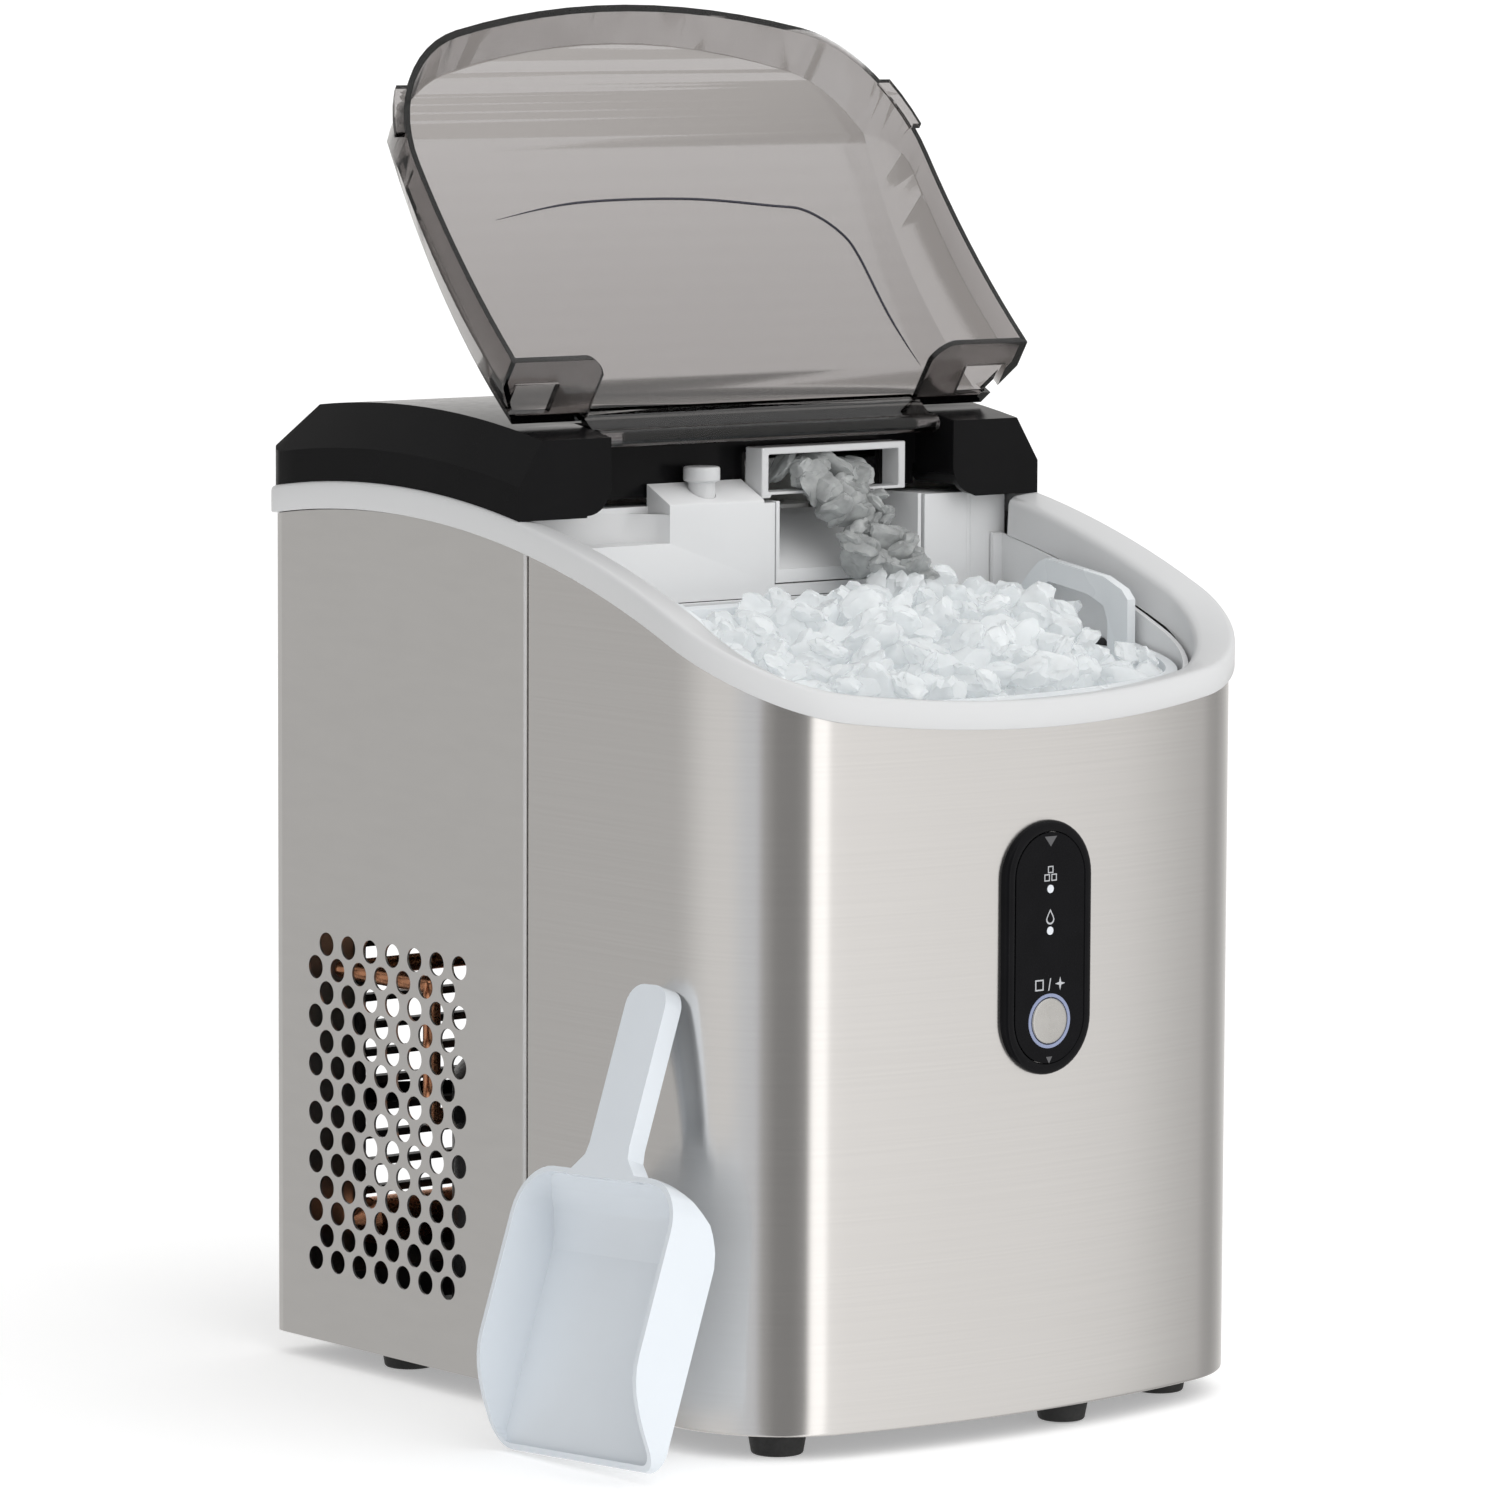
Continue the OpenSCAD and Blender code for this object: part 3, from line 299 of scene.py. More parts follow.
# Name, colour, roughness, metallic, spread of the colour and of the roughness, noise size in metres, relief
PLAIN = {
    "pan_metal": ("pan_coat", (0.05, 0.05, 0.055), 0.5, 0.0, 0.1, 0.08, 0.01, 0.15),
    "foot_rubber": ("foot_rubber", (0.02, 0.02, 0.02), 0.65, 0.0, 0.15, 0.08, 0.004, 0.3),
    "grille_plastic": ("grille_plastic", (0.02, 0.02, 0.02), 0.5, 0.0, 0.1, 0.08, 0.006, 0.2),
    "bezel_plastic": ("bezel_plastic", (0.006, 0.006, 0.007), 0.14, 0.0, 0.1, 0.03, 0.01, 0.02),
    "panel_film": ("panel_film", (0.006, 0.006, 0.007), 0.28, 0.0, 0.1, 0.04, 0.008, 0.03),
    "lens": ("lens", (0.72, 0.75, 0.80), 0.3, 0.0, 0.03, 0.05, 0.002, 0.0),
    "ring_lens": ("ring_lens", (0.27, 0.31, 0.46), 0.3, 0.0, 0.04, 0.05, 0.002, 0.0),
    "circuit": ("circuit_board", (0.03, 0.18, 0.08), 0.4, 0.0, 0.2, 0.1, 0.003, 0.2),
    "pin_steel": ("pin_steel", (0.6, 0.6, 0.62), 0.2, 1.0, 0.05, 0.05, 0.002, 0.0),
    "foam": ("foam", (0.8, 0.76, 0.62), 0.9, 0.0, 0.08, 0.05, 0.004, 0.6),
    "motor_black": ("motor_enamel", (0.03, 0.03, 0.032), 0.35, 0.0, 0.2, 0.1, 0.008, 0.1),
    "copper": ("copper", (0.76, 0.36, 0.20), 0.28, 1.0, 0.15, 0.1, 0.006, 0.0),
    "fin_alu": ("fin_metal", (0.80, 0.81, 0.82), 0.3, 1.0, 0.05, 0.08, 0.004, 0.0),
    "dark_plastic": ("dark_plastic", (0.03, 0.03, 0.032), 0.5, 0.0, 0.15, 0.08, 0.006, 0.2),
    "white_plastic": ("white_plastic", (0.82, 0.82, 0.80), 0.45, 0.0, 0.02, 0.06, 0.01, 0.1),
    "stainless": ("stainless", (0.66, 0.66, 0.67), 0.25, 1.0, 0.04, 0.08, 0.004, 0.0),
    "jacket_foam": ("jacket_foam", (0.03, 0.03, 0.03), 0.9, 0.0, 0.2, 0.05, 0.003, 0.6),
    "float_plastic": ("float_plastic", (0.75, 0.35, 0.1), 0.5, 0.0, 0.05, 0.06, 0.004, 0.1),
    "hose_clear": ("hose_clear", (0.8, 0.84, 0.86), 0.3, 0.0, 0.03, 0.05, 0.01, 0.0),
    "ink": ("panel_print", (0.50, 0.51, 0.53), 0.5, 0.0, 0.03, 0.05, 0.002, 0.0),
    "ink_dim": ("panel_print_dim", (0.10, 0.10, 0.105), 0.4, 0.0, 0.03, 0.05, 0.002, 0.0),
    # Light grey of the seam's folded edge: a painted highlight
    "seam_strip": ("seam_strip", (0.62, 0.615, 0.61), 0.4, 0.0, 0.02, 0.05, 0.004, 0.0),
    # Dark bead inside the lid along its raised arch: painted shade
    "smoke_line": ("smoke_line", (0.035, 0.035, 0.05), 0.15, 0.0, 0.1, 0.03, 0.01, 0.0),
    "floor_paper": ("floor_paper", (0.90, 0.90, 0.90), 0.8, 0.0, 0.004, 0.03, 0.4, 0.0),
}
# The same, then the size of the relief
MOULDED = {
    "rim_plastic": ("rim_plastic", (0.68, 0.685, 0.69), 0.3, 0.0, 0.008, 0.01, 0.05, 0.002, 0.05),
    "cover_plastic": ("cover_plastic", (0.006, 0.006, 0.0065), 0.17, 0.0, 0.1, 0.03, 0.02, 0.02, 0.003),
    "liner_plastic": ("liner_plastic", (0.80, 0.805, 0.81), 0.33, 0.0, 0.01, 0.02, 0.03, 0.005, 0.002),
    "scoop_plastic": ("scoop_plastic", (0.77, 0.815, 0.86), 0.2, 0.0, 0.008, 0.02, 0.02, 0.004, 0.003),
    "basket_clear": ("basket_plastic", (0.80, 0.83, 0.85), 0.28, 0.0, 0.012, 0.01, 0.03, 0.002, 0.05),
    "smoke_clear": ("smoke_plastic", (0.98, 0.98, 0.98), 0.08, 0.0, 0.0, 0.01, 0.05, 0.006, 0.02),
    "ice": ("ice", (0.95, 0.965, 0.97), 0.07, 0.0, 0.03, 0.05, 0.005, 0.12, 0.0035),
    # Ice of the falling stream: the same ice with a darker grey base, which is painted shade
    "ice_grey": ("ice_grey", (0.58, 0.595, 0.59), 0.1, 0.0, 0.25, 0.05, 0.006, 0.3, 0.003),
    "ice_core": ("ice_core", (0.90, 0.915, 0.92), 0.25, 0.0, 0.05, 0.1, 0.006, 0.6, 0.004),
}
M = {key: surface(*row) for key, row in {**PLAIN, **MOULDED}.items()}
M["steel"] = brushed(surface("brushed_steel", (0.80, 0.785, 0.772), 0.225, metal=1.0, vary=0.014, rough_vary=0.02,
                             size=0.0007, bump=0.012, bump_size=0.0004, stretch=(0.006, 0.006, 1.0)), 0.9, 0.25)
M["side_metal"] = brushed(surface("side_metal", (0.78, 0.77, 0.757), 0.33, metal=1.0, vary=0.012, rough_vary=0.02,
                                  size=0.02, bump=0.012, bump_size=0.0006, stretch=(1, 1, 4),
                                  bump_stretch=(0.02, 0.02, 1.5)), 0.6, 0.25)
M["button_metal"] = brushed(surface("spun_metal", (0.66, 0.65, 0.63), 0.3, metal=1.0, vary=0.02, size=0.002),
                            0.9, 0.0, "Y")
clear(M["smoke_clear"], CLEAR_IOR, absorb=(0.60, 0.578, 0.57), density=1080.0)
clear(M["ice"], ICE_IOR, transmission=0.58)
clear(M["ice_grey"], ICE_IOR, transmission=0.45)
# The ice glows a little: painted light that makes the lumps, the packed ice and the stream brighter than the lamps
# make them
for key, strength in [("ice", 0.068), ("ice_grey", 0.01), ("ice_core", 0.095)]:
    glowing(M[key], (0.93, 0.97, 1.0), strength)
glowing(M["floor_paper"], (1, 1, 1), 0.34)
for key, level in [("cover_plastic", 0.1), ("bezel_plastic", 0.11), ("panel_film", 0.08), ("smoke_clear", 0.2)]:
    shader(M[key]).inputs["Specular IOR Level"].default_value = level

slot_of = {s["node"]: s["material_slot"] for s in frame["record"]["subparts"]}
slot_of["button_ring"] = "ring_lens"
for name, obj in nodes.items():
    look = M[slot_of[name]]
    if not obj.material_slots:
        obj.data.materials.append(look)
    for s in obj.material_slots:
        s.material = look


# ---------------------------------------------------------------- steel wrap
def make_wrap():
    """Bowed sheet with a small hem at the two seams and a lip turned in at the bottom."""
    hem, lip, turned_in = 0.9, 1.2, 5
    y_end = SEAM_Y - SEAM_GAP
    line = front_outline(y_end - hem)
    left_hem = arc_points(-HALF_W + hem, y_end - hem, hem, 90, 180, 6)[:-1]
    right_hem = arc_points(HALF_W - hem, y_end - hem, hem, 0, 90, 6)[1:]
    line = ([(-HALF_W + turned_in, y_end, 0.0, 1.0)] + left_hem + line + right_hem
            + [(HALF_W - turned_in, y_end, 0.0, 1.0)])
    rows = []
    for inset, rise in [(6.0, 0.0), (1.4, 0.0), (0.5, 0.2), (0.12, 0.6), (0.0, lip)]:
        rows.append([cab(x - nx * inset, y - ny * inset, FOOT_H + rise) for x, y, nx, ny in line])
    for k in range(1, 25):
        t = k / 24
        rows.append([cab(x, y, (FOOT_H + lip) * (1 - t) + (edge_z(y) - EDGE_GAP) * t) for x, y, nx, ny in line])
    return placed(grid("steel_wrap", rows, M["steel"]), "cabinet", "steel", "front_wrap")


make_wrap()


def make_seam_strips():
    """Folded edge that the wrap tucks under, on both sides, coloured a light grey that paints the highlight along
    the seam.
    """
    profile = [(0.3, -0.3), (0.32, 0.12), (0.6, 0.2), (1.7, 0.2), (2.0, 0.1), (2.02, -0.3)]
    low = FOOT_H + 1
    for name, side in [("left", -1), ("right", 1)]:
        rows = []
        for behind, out in profile:
            y = SEAM_Y + behind
            rows.append([cab(side * (HALF_W + out), y, low + (edge_z(y) - EDGE_GAP - low) * k / 12)
                         for k in range(13)])
        placed(grid("seam_strip_" + name, rows, M["seam_strip"]), "cabinet", "side_metal")


make_seam_strips()


# ---------------------------------------------------------------- white rim
def make_rim():
    """Turned rim: a wide ledge round the bin that narrows to a strip under the rear cover.

    Both outlines give millimetres in from the steel's face and up from its edge.
    """
    front = [(-1.6, 0), (-2, 0.4), (-2, 7.4), (-1.85, 8.2), (-1.4, 8.85), (-0.7, 9.2), (0.4, 9.25), (4, 8.9),
             (8.6, 8.2), (10.2, 7.7), (11.3, 6.8), (11.9, 5.4), (12.4, -5.0), (11.0, -5.0), (10.2, 4.5),
             (1, 5.5), (0.2, 0.0)]
    rear = [(-1.6, 0), (-2, 0.4), (-2, 7.4), (-1.85, 8.2), (-1.4, 8.85), (-0.7, 9.2), (0.4, 9.25), (1.4, 9.25),
            (2.4, 9.2), (3.2, 9.0), (3.7, 8.5), (3.95, 7.8), (4, 0.4), (3.7, 0.1), (3, 0), (1.5, 0), (0.2, 0.0)]
    rows = []
    for x, y, nx, ny in full_outline():
        t = min(1.0, max(0.0, (y - RIM_STEP_Y) / RIM_STEP))
        base = edge_z(y)
        row = []
        for (d0, h0), (d1, h1) in zip(front, rear):
            d, h = d0 + (d1 - d0) * t, h0 + (h1 - h0) * t
            row.append(cab(x - nx * d, y - ny * d, base + h))
        rows.append(row)
    return placed(grid("rim", rows, M["rim_plastic"], close_u=True, close_v=True, sharp=50), "cabinet",
                  "rim_plastic", "top_rim")


make_rim()

# ---------------------------------------------------------------- pieces that keep the CAD's shape with real edges
# CAD node, visible piece, material slot, width of the rounded edge in mm, its segments
COPIES = [
    ("rear_cover", "cover", "cover_plastic", 1.1, 4),
    ("bin_back", "bin_back_moulding", "liner_plastic", 1.2, 4),
    ("chute_frame", "chute_surround", "rim_plastic", 1.0, 4),
    ("ice_chute", "chute_floor", "liner_plastic", 0.8, 3),
    ("vent_cap", "cap", "rim_plastic", 0.8, 3),
    ("bin_liner", "liner", "liner_plastic", 0.6, 2),
    ("ice_basket", "basket", "basket_clear", 0.7, 3),
    ("scoop", "ice_scoop", "scoop_plastic", 0.7, 3),
    ("feet", "rubber_feet", "foot_rubber", 0.8, 3),
    ("drain_cap", "drain_stopper", "foot_rubber", 0.8, 3),
    ("rear_grille", "back_grille", "grille_plastic", 0.4, 2),
]
for node, piece, slot, width, segments in COPIES:
    cad_copy(node, piece, M[slot], width, segments)
cad_copy("lid", "lid_shell", M["smoke_clear"], 0.35, 2, angle=35, dissolve=0.1)


# ---------------------------------------------------------------- control panel
def stadium_line(radius, straight, n=24):
    """Upright outline with round ends, as x and z."""
    pts = []
    for i in range(n + 1):
        a = math.pi * i / n
        pts.append((radius * math.cos(a), straight / 2 + radius * math.sin(a)))
    for i in range(n + 1):
        a = math.pi + math.pi * i / n
        pts.append((radius * math.cos(a), -straight / 2 + radius * math.sin(a)))
    return pts


def make_bezel():
    """Frame of the panel, from pairs of radius and depth behind the front face."""
    straight = 46.0
    profile = [(18.5, 3.6), (18.5, -0.9), (18.2, -1.7), (17.5, -2.3), (16.6, -2.6), (15.8, -2.6), (15.2, -2.45),
               (14.85, -2.1), (14.75, -1.3), (14.7, 2.2)]
    rows = [[cab(x, FRONT_Y + d, BEZEL_Z + z) for x, z in stadium_line(r, straight)] for r, d in profile]
    return placed(grid("bezel", rows, M["bezel_plastic"], close_u=True, sharp=60), "cabinet", "bezel_plastic",
                  "panel_bezel")


PRINT_Y, PRINT_T = PANEL_OUT + 0.12, 0.1         # front and thickness of the printed marks


def plate(name, outline, z0, material):
    """A printed mark: a flat shape in x and z."""
    n = len(outline)
    verts = [cab(x, y, z0 + z) for y in (PRINT_Y, PRINT_Y + PRINT_T) for x, z in outline]
    faces = [tuple(range(n)), tuple(reversed(range(n, 2 * n)))]
    faces += [(i, (i + 1) % n, n + (i + 1) % n, n + i) for i in range(n)]
    obj = new_object(name, verts, faces, material, smooth=False)
    return placed(obj, "cabinet", "panel_film")


def ring_mark(name, outer, inner, z0, material, dx=0.0):
    """A printed outline between two shapes."""
    n = len(outer)
    verts = [cab(x + dx, y, z0 + z) for y in (PRINT_Y, PRINT_Y + PRINT_T) for x, z in outer + inner]
    faces = []
    for i in range(n):
        j = (i + 1) % n
        faces += [(i, j, n + j, n + i), (2 * n + i, 3 * n + i, 3 * n + j, 2 * n + j),
                  (i, 2 * n + i, 2 * n + j, j), (n + i, n + j, 3 * n + j, 3 * n + i)]
    return placed(new_object(name, verts, faces, material, smooth=False), "cabinet", "panel_film")


def square(s):
    return [(-s, -s), (s, -s), (s, s), (-s, s)]


def drop(s):
    """A circle of radius s whose upper half is drawn up to a point."""
    pinch, tall, lower = 0.6, 1.9, 0.2
    pts = []
    for i in range(20):
        a = -math.pi / 2 + math.tau * i / 20
        x, z = s * math.cos(a), s * math.sin(a)
        if z > 0:
            x *= (1 - z / s) ** pinch
            z *= tall
        pts.append((x, z - lower * s))
    return pts


def star(tip, notch, x0):
    """Four points, as x and z."""
    turns = [(tip if i % 2 == 0 else notch, i * math.pi / 4) for i in range(8)]
    return [(r * math.sin(a) + x0, r * math.cos(a)) for r, a in turns]


FULL_Z, WATER_Z, POWER_Z, TOP_Z, BOTTOM_Z = 183.9, 170.0, 148.4, 195.2, 124.0
make_bezel()
for k, (dx, dz) in enumerate([(-1.5, -0.7), (1.5, -0.7), (0.0, 1.9)]):
    ring_mark(f"mark_cubes_{k}", square(1.15), square(0.8), FULL_Z + dz, M["ink"], dx)
ring_mark("mark_drop", drop(1.75), drop(1.3), WATER_Z, M["ink"])
ring_mark("mark_cube", square(1.8), square(1.35), POWER_Z, M["ink"], -4.4)
plate("mark_slash", [(-0.6, -2.0), (-0.2, -2.0), (0.6, 2.0), (0.2, 2.0)], POWER_Z, M["ink"])
plate("mark_star", star(2.2, 0.65, 4.5), POWER_Z, M["ink"])
plate("mark_top", [(-2.6, 1.4), (2.6, 1.4), (0.0, -1.9)], TOP_Z, M["ink_dim"])
plate("mark_bottom", [(-1.3, 0.8), (1.3, 0.8), (0.0, -1.4)], BOTTOM_Z, M["ink_dim"])


def make_button():
    """Spun cap with a soft edge, from pairs of radius and depth."""
    profile = [(0.05, -0.55), (2.0, -0.5), (4.5, -0.42), (6.6, -0.34), (7.1, -0.28), (7.4, -0.05), (7.5, 0.3),
               (7.5, 3.6)]
    turns = [k * math.tau / 64 for k in range(64)]
    rows = [[cab(r * math.cos(a), PANEL_OUT + d, BUTTON_Z + r * math.sin(a)) for a in turns] for r, d in profile]
    cap = grid("button_cap", rows, M["button_metal"], close_u=True, sharp=60)
    return placed(cap, "button", "button_metal", "button")


make_button()


# ---------------------------------------------------------------- lid's raised arch, drawn as a line of painted shade
def tapered_bead(name, path, radius, material, sides, taper):
    """A round bead along a path that isn't upright, thinning out over its first and last points."""
    tip = 0.12
    last = len(path) - 1
    turns = [k * math.tau / sides for k in range(sides)]
    rows = []
    for i, p in enumerate(path):
        along = (path[min(last, i + 1)] - path[max(0, i - 1)]).normalized()
        side = along.cross(Vector((0, 0, 1))).normalized()
        up = side.cross(along).normalized()
        r = radius * min(1.0, tip + i / taper, tip + (last - i) / taper)
        rows.append([p + (side * math.cos(a) + up * math.sin(a)) * r for a in turns])
    return grid(name, rows, material, close_u=True, caps=True)


def smooth_path(points, steps=12):
    """Catmull-Rom curve through points."""
    pts = [points[0]] + points + [points[-1]]
    out = []
    for i in range(1, len(pts) - 2):
        p0, p1, p2, p3 = (Vector(p) for p in pts[i - 1:i + 3])
        for k in range(steps):
            t = k / steps
            out.append(0.5 * ((2 * p1) + (p2 - p0) * t + (2 * p0 - 5 * p1 + 4 * p2 - p3) * t * t
                              + (3 * p1 - p0 - 3 * p2 + p3) * t * t * t))
    out.append(Vector(pts[-2]))
    return out


def lid_skin_z(y, depth):
    """Height of the closed lid, some way below its outer face."""
    return LID_Z + math.sqrt((LID_R - depth) ** 2 - (y - LID_Y) ** 2)


ARCH = [(-70, -88), (-34, -93), (13, -93.5), (50, -90.5), (64.5, -88.5), (76, -81), (80.5, -71), (81.5, -47),
        (83, -26.6)]
ARCH_R, ARCH_DEPTH = 0.45, 2.25


def make_arch():
    """The dark line along the lid's raised arch: an opaque bead inside the clear lid that paints the shade at the
    arch's edge.
    """
    path = smooth_path([(x, y, 0) for x, y in ARCH])
    path = [cab(*lid_opened(p.x, p.y, lid_skin_z(p.y, ARCH_DEPTH))) for p in path]
    bead = tapered_bead("lid_arch_painted_shade", path, ARCH_R * MM, M["smoke_line"], sides=8, taper=14)
    placed(bead, "lid", "smoke_clear")


make_arch()


# ---------------------------------------------------------------- ice
# Points of the heap's surface
HEAP = [(38, -22, 271), (-12, -20, 266), (-37, -30, 262), (-55, -42, 257), (-84, -60, 249), (0, -60, 262),
        (40, -60, 265), (70, -60, 262), (84, -78, 248), (88, -92, 241), (-40, -100, 246), (0, -122, 240),
        (40, -120, 241), (70, -105, 242), (-60, -112, 241), (-80, -85, 247), (80, -36, 262), (86, -16, 262),
        (-86, -30, 251), (-80, -14, 254), (20, -90, 254), (50, -92, 252)]


def heap_z(x, y):
    """Height of the heap, each of its points counting for more the nearer it is."""
    blend, fall = 120.0, 1.6
    total = weight = 0.0
    for hx, hy, hz in HEAP:
        w = 1.0 / (((x - hx) ** 2 + (y - hy) ** 2) + blend) ** fall
        total += w * hz
        weight += w
    return total / weight


def inside_basket(x, y, margin):
    """Whether a point is in the basket and farther than margin from its walls."""
    inset = BASKET_INSET + margin
    if abs(x) > BASKET_HALF_W - margin or y > BASKET_BACK_Y - margin:
        return False
    if y < BOW_CY - math.sqrt((BOW_R - inset) ** 2 - x * x):
        return False
    if abs(x) > CORNER_X and y < CORNER_Y:
        return math.hypot(abs(x) - CORNER_X, y - CORNER_Y) < CORNER_R - inset
    return True


def nugget(rng, size, seed, flat, detail):
    """One chewed-looking lump of ice, as vertices and faces about its own middle."""
    cut_away, bulge, bulge_scale, pits, pit_scale, tilt = 0.9, 0.34, 1.7, 0.10, 4, 0.9
    bm = bmesh.new()
    bmesh.ops.create_icosphere(bm, subdivisions=detail, radius=1.0)
    stretch = Vector((rng.uniform(0.9, 1.35), rng.uniform(0.75, 1.1), rng.uniform(0.6, 0.85) * flat))
    cuts = []
    for _ in range(rng.randint(3, 6)):
        n = Vector((rng.uniform(-1, 1), rng.uniform(-1, 1), rng.uniform(-1, 1))).normalized()
        cuts.append((n, rng.uniform(0.55, 0.85)))
    for v in bm.verts:
        p = v.co.copy()
        for n, d in cuts:
            over = p.dot(n) - d
            if over > 0:
                p -= n * over * cut_away
        p *= 1.0 + bulge * noise.noise(p * bulge_scale + Vector((seed * 3.1, seed * 1.7, 0.3)))
        p += pits * Vector([noise.noise(p * pit_scale + Vector(shift))
                            for shift in [(seed, 0, 9), (0, seed, 5), (7, 2, seed)]])
        v.co = Vector((p.x * stretch.x, p.y * stretch.y, p.z * stretch.z)) * size
    turn = Matrix.Rotation(rng.uniform(0, math.tau), 3, "Z")
    turn = turn @ Matrix.Rotation(rng.uniform(-tilt, tilt), 3, "X")
    turn = turn @ Matrix.Rotation(rng.uniform(-tilt, tilt), 3, "Y")
    verts = [turn @ v.co for v in bm.verts]
    faces = [tuple(x.index for x in f.verts) for f in bm.faces]
    bm.free()
    return verts, faces


def scatter(name, spots, material, body, flat=1.0, detail=2):
    """One piece of many lumps, at spots given as x, y, z and size in mm."""
    seed_step, sharp = 0.37, 30
    verts, faces = [], []
    rng = random.Random(name)
    for k, (x, y, z, size) in enumerate(spots):
        vs, fs = nugget(rng, size * MM, k * seed_step, flat, detail)
        base = len(verts)
        c = cab(x, y, z)
        verts += [c + v for v in vs]
        faces += [tuple(base + i for i in f) for f in fs]
    return placed(new_object(name, verts, faces, material, sharp=sharp), body, "basket_clear")


def heap_spots(seed, pitch, drop_by, size, jitter):
    """Places in staggered rows over the heap, drop_by mm below its surface."""
    half_x, y_start, y_end, row_step, uneven, overlap = 92.0, -136.0, -12, 0.86, 2.2, 0.75
    rng = random.Random(seed)
    spots = []
    y = y_start
    row = 0
    while y < y_end:
        x = -half_x + (row % 2) * pitch / 2
        while x < half_x:
            px, py = x + rng.uniform(-jitter, jitter), y + rng.uniform(-jitter, jitter)
            if inside_basket(px, py, size[1] * overlap):
                s = rng.uniform(*size)
                spots.append((px, py, heap_z(px, py) - drop_by + rng.uniform(-uneven, uneven), s))
            x += pitch
        y += pitch * row_step
        row += 1
    return spots


scatter("ice_top", heap_spots(3, 12.5, 3.5, (6.4, 8.8), 3.0), M["ice"], "ice_basket", flat=0.85, detail=3)
scatter("ice_loose", heap_spots(5, 19.0, -1.0, (4.4, 6.8), 6.5), M["ice"], "ice_basket", flat=0.8, detail=3)
scatter("ice_under", heap_spots(9, 12.0, 10.5, (5.5, 7.0), 2.5), M["ice"], "ice_basket")


def make_core():
    """Packed ice below the loose pieces, so that the basket is full."""
    n, tries = 60, 60
    half_x, y_start, length, depth = 90.0, -133, 120.4, 13.0
    wall_gap, draw_in, draw_back, front_half = 0.4, 0.985, 0.6, -60
    rows = []
    for j in range(n + 1):
        row = []
        for i in range(n + 1):
            px, py = -half_x + 2 * half_x * i / n, y_start + length * j / n
            for _ in range(tries):  # the square sheet is drawn in until it lies inside the walls
                if inside_basket(px, py, wall_gap):
                    break
                px *= draw_in
                py += draw_back if py < front_half else 0.0
            lumps = 3.0 * noise.noise(Vector((px, py, 0)) * 0.22) + 1.5 * noise.noise(Vector((px, py, 4)) * 0.6)
            row.append(cab(px, py, heap_z(px, py) - depth + lumps))
        rows.append(row)
    placed(grid("ice_core", rows, M["ice_core"]), "ice_basket", "basket_clear")


make_core()

# Middle of the ice that falls from the chute
STREAM = [(26, 10, 306), (28, 3, 303.5), (31, -3, 299), (33, -8, 292), (36, -13, 284), (40, -18, 276),
          (42, -24, 271)]


def stream_spots():
    """Three lumps abreast all the way down the stream, which narrows as it falls."""
    half_top, half_bottom, abreast = 15, 11, 0.62
    rng = random.Random(21)
    path = smooth_path(STREAM, 3)
    spots = []
    for i, p in enumerate(path):
        half = half_top - (half_top - half_bottom) * i / (len(path) - 1)
        for k in (-1, 0, 1):
            spots.append((p.x + (k * abreast + rng.uniform(-0.3, 0.3)) * half, p.y + rng.uniform(-1.5, 1.0) - 1.0,
                          p.z + rng.uniform(-2.0, 2.0), rng.uniform(4.4, 7.4)))
    return spots


# The falling lumps take the darker ice, whose grey is painted shade
scatter("ice_stream", stream_spots(), M["ice_grey"], "cabinet", flat=0.75, detail=3)

# ---------------------------------------------------------------- floor, light and camera
def make_floor():
    """A sheet that reaches past everything the camera sees."""
    s = 60.0
    mesh = bpy.data.meshes.new("floor")
    mesh.from_pydata([(-s, -s, 0), (s, -s, 0), (s, s, 0), (-s, s, 0)], [], [(0, 1, 2, 3)])
    mesh.materials.append(M["floor_paper"])
    obj = linked("floor", mesh)
    obj.visible_glossy = False


make_floor()

# Brightness of the studio by compass bearing, as soft panels round the object would give it
STUDIO = [(0, 0.36), (12, 0.44), (40, 0.75), (60, 0.95), (78, 0.95), (92, 0.62), (108, 0.50), (126, 0.47),
          (141, 0.52), (152, 0.60), (166, 0.69), (184, 0.70), (199, 0.62), (208, 0.60), (214, 0.36),
          (224, 0.23), (238, 0.22), (250, 0.28), (253.5, 1.30), (265, 1.36), (268, 0.92), (286, 0.88), (300, 0.83),
          (312, 0.81), (324, 0.75), (336, 0.52), (348, 0.40), (360, 0.36)]
COOL_FROM, COOL_TO = 198, 212                   # the panels between these bearings are a little blue
WARM_TINT, COOL_TINT = (1.0, 0.985, 0.965), (0.98, 0.995, 1.025)
OVERHEAD = (0.9, 0.9, 0.9, 1)
SOFT_BEARING, SOFT_HEIGHT = 290, 42             # degrees: where the diffuse light is brightest


def direction(bearing, height):
    """Unit vector towards a bearing from +X and a height above the floor, in degrees."""
    a, e = math.radians(bearing), math.radians(height)
    return Vector((math.cos(a) * math.cos(e), math.sin(a) * math.cos(e), math.sin(e)))


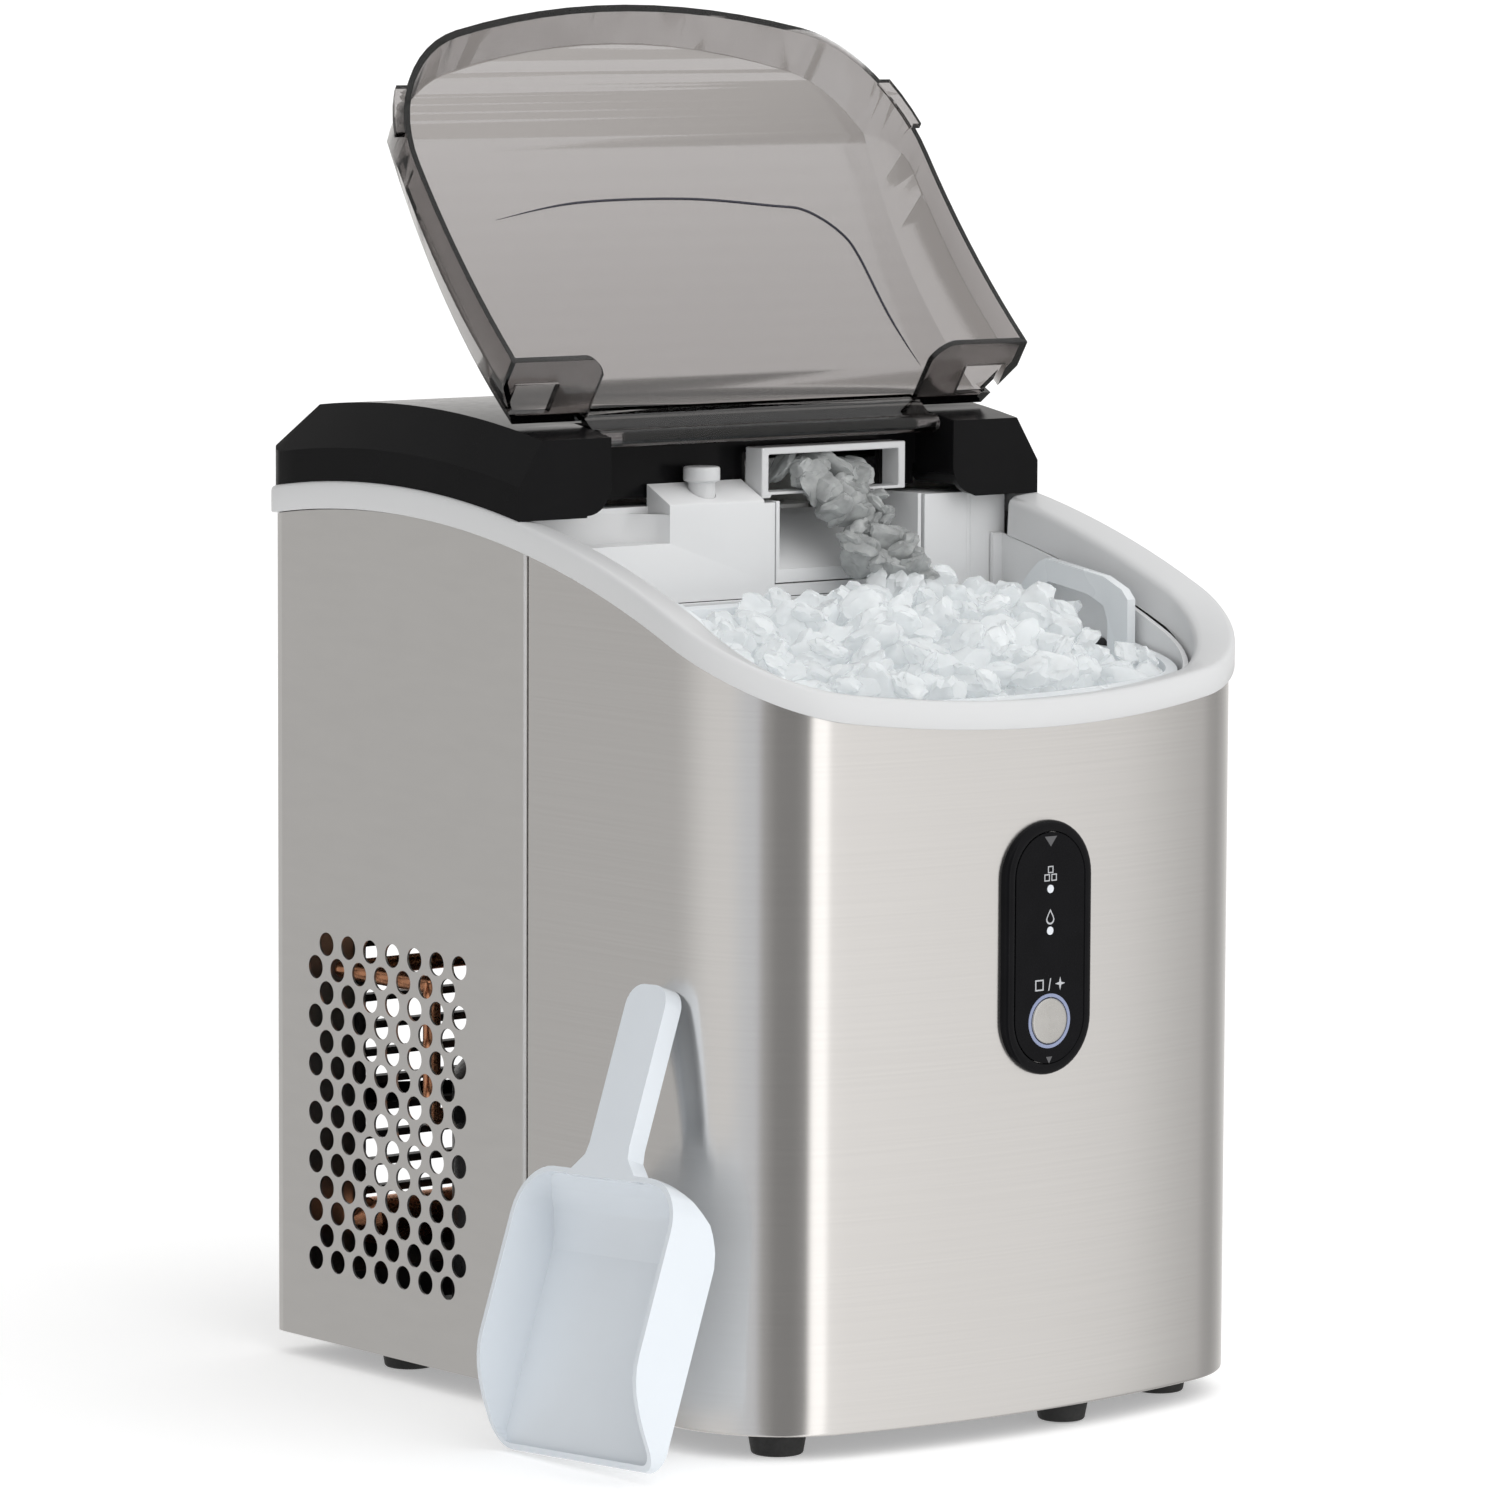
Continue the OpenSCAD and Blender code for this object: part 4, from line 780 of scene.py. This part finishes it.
def make_world():
    """Panels by compass bearing for what shines, and one soft gradient for all other rays."""
    world = bpy.data.worlds.new("studio")
    bpy.context.scene.world = world
    world.use_nodes = True
    nt = world.node_tree
    nt.nodes.clear()
    ray = add_node(nt, "TexCoord").outputs["Generated"]
    split = add_node(nt, "SeparateXYZ", links={"Vector": ray})
    angle = add_node(nt, "Math", links={0: split.outputs["Y"], 1: split.outputs["X"]}, operation="ARCTAN2")
    turns = add_node(nt, "Math", {1: math.tau}, {0: angle.outputs[0]}, operation="DIVIDE")
    bearing_part = add_node(nt, "Math", links={0: turns.outputs[0]}, operation="FRACT")

    panels = add_node(nt, "ValToRGB", links={"Fac": bearing_part.outputs[0]})
    stops = panels.color_ramp.elements
    while len(stops) > 1:
        stops.remove(stops[-1])
    for k, (bearing, value) in enumerate(STUDIO):
        stop = stops[0] if k == 0 else stops.new(bearing / 360)
        stop.position = bearing / 360
        tint = COOL_TINT if COOL_FROM < bearing < COOL_TO else WARM_TINT
        stop.color = tuple(value * c for c in tint) + (1,)
    lift = add_node(nt, "MapRange", {"From Min": 0.45, "From Max": 0.8}, {"Value": split.outputs["Z"]})
    sky = add_node(nt, "Mix", {"B": OVERHEAD}, {"Factor": lift.outputs["Result"], "A": panels.outputs["Color"]},
                   data_type="RGBA")
    shine = add_node(nt, "Background", links={"Color": sky.outputs["Result"]})

    facing = add_node(nt, "VectorMath", {1: direction(SOFT_BEARING, SOFT_HEIGHT)}, {0: ray},
                      operation="DOT_PRODUCT")
    fall = add_node(nt, "MapRange", {"From Min": -0.6, "From Max": 0.85, "To Min": 0.05, "To Max": 1.0},
                    {"Value": facing.outputs["Value"]}, interpolation_type="SMOOTHSTEP")
    soft = add_node(nt, "Background", {"Color": (1, 1, 1, 1)}, {"Strength": fall.outputs["Result"]})

    choose = add_node(nt, "MixShader", links={"Fac": add_node(nt, "LightPath").outputs["Is Glossy Ray"],
                                              1: soft.outputs["Background"], 2: shine.outputs["Background"]})
    add_node(nt, "OutputWorld", links={"Surface": choose.outputs["Shader"]})


make_world()


def make_sun(name, power, bearing, height, spread):
    """Light from one side, spread in degrees wide so that shadows stay soft."""
    lamp = bpy.data.lights.new(name, "SUN")
    lamp.energy = power
    lamp.angle = math.radians(spread)
    obj = linked(name, lamp)
    obj.rotation_mode = "QUATERNION"
    obj.rotation_quaternion = direction(bearing, height).to_track_quat("Z", "Y")
    obj.visible_glossy = False


make_sun("key", power=0.55, bearing=285, height=50, spread=60)

CAMERA = Vector((-1617.09 + BODY_X, -1977.66 + BODY_Y, 488.86)) * MM
YAW, PITCH, ROLL = 0.683338, 0.107992, 0.004585  # radians
SENSOR, LENS = 36.0, 183.048                    # mm


def make_camera():
    """Turned YAW from +Y towards +X, tipped down by PITCH and rolled about its own axis."""
    cam = bpy.data.cameras.new("camera")
    cam.sensor_width, cam.lens = SENSOR, LENS
    cam.clip_start, cam.clip_end = 0.1, 200.0
    obj = linked("camera", cam)
    forward = Vector((math.sin(YAW) * math.cos(PITCH), math.cos(YAW) * math.cos(PITCH), -math.sin(PITCH)))
    level = Vector((math.cos(YAW), -math.sin(YAW), 0))
    right = level * math.cos(ROLL) + level.cross(forward) * math.sin(ROLL)
    up = right.cross(forward)
    obj.matrix_world = Matrix(((right.x, up.x, -forward.x, CAMERA.x), (right.y, up.y, -forward.y, CAMERA.y),
                               (right.z, up.z, -forward.z, CAMERA.z), (0, 0, 0, 1)))
    bpy.context.scene.camera = obj


make_camera()
bpy.context.scene.view_settings.view_transform = "Standard"
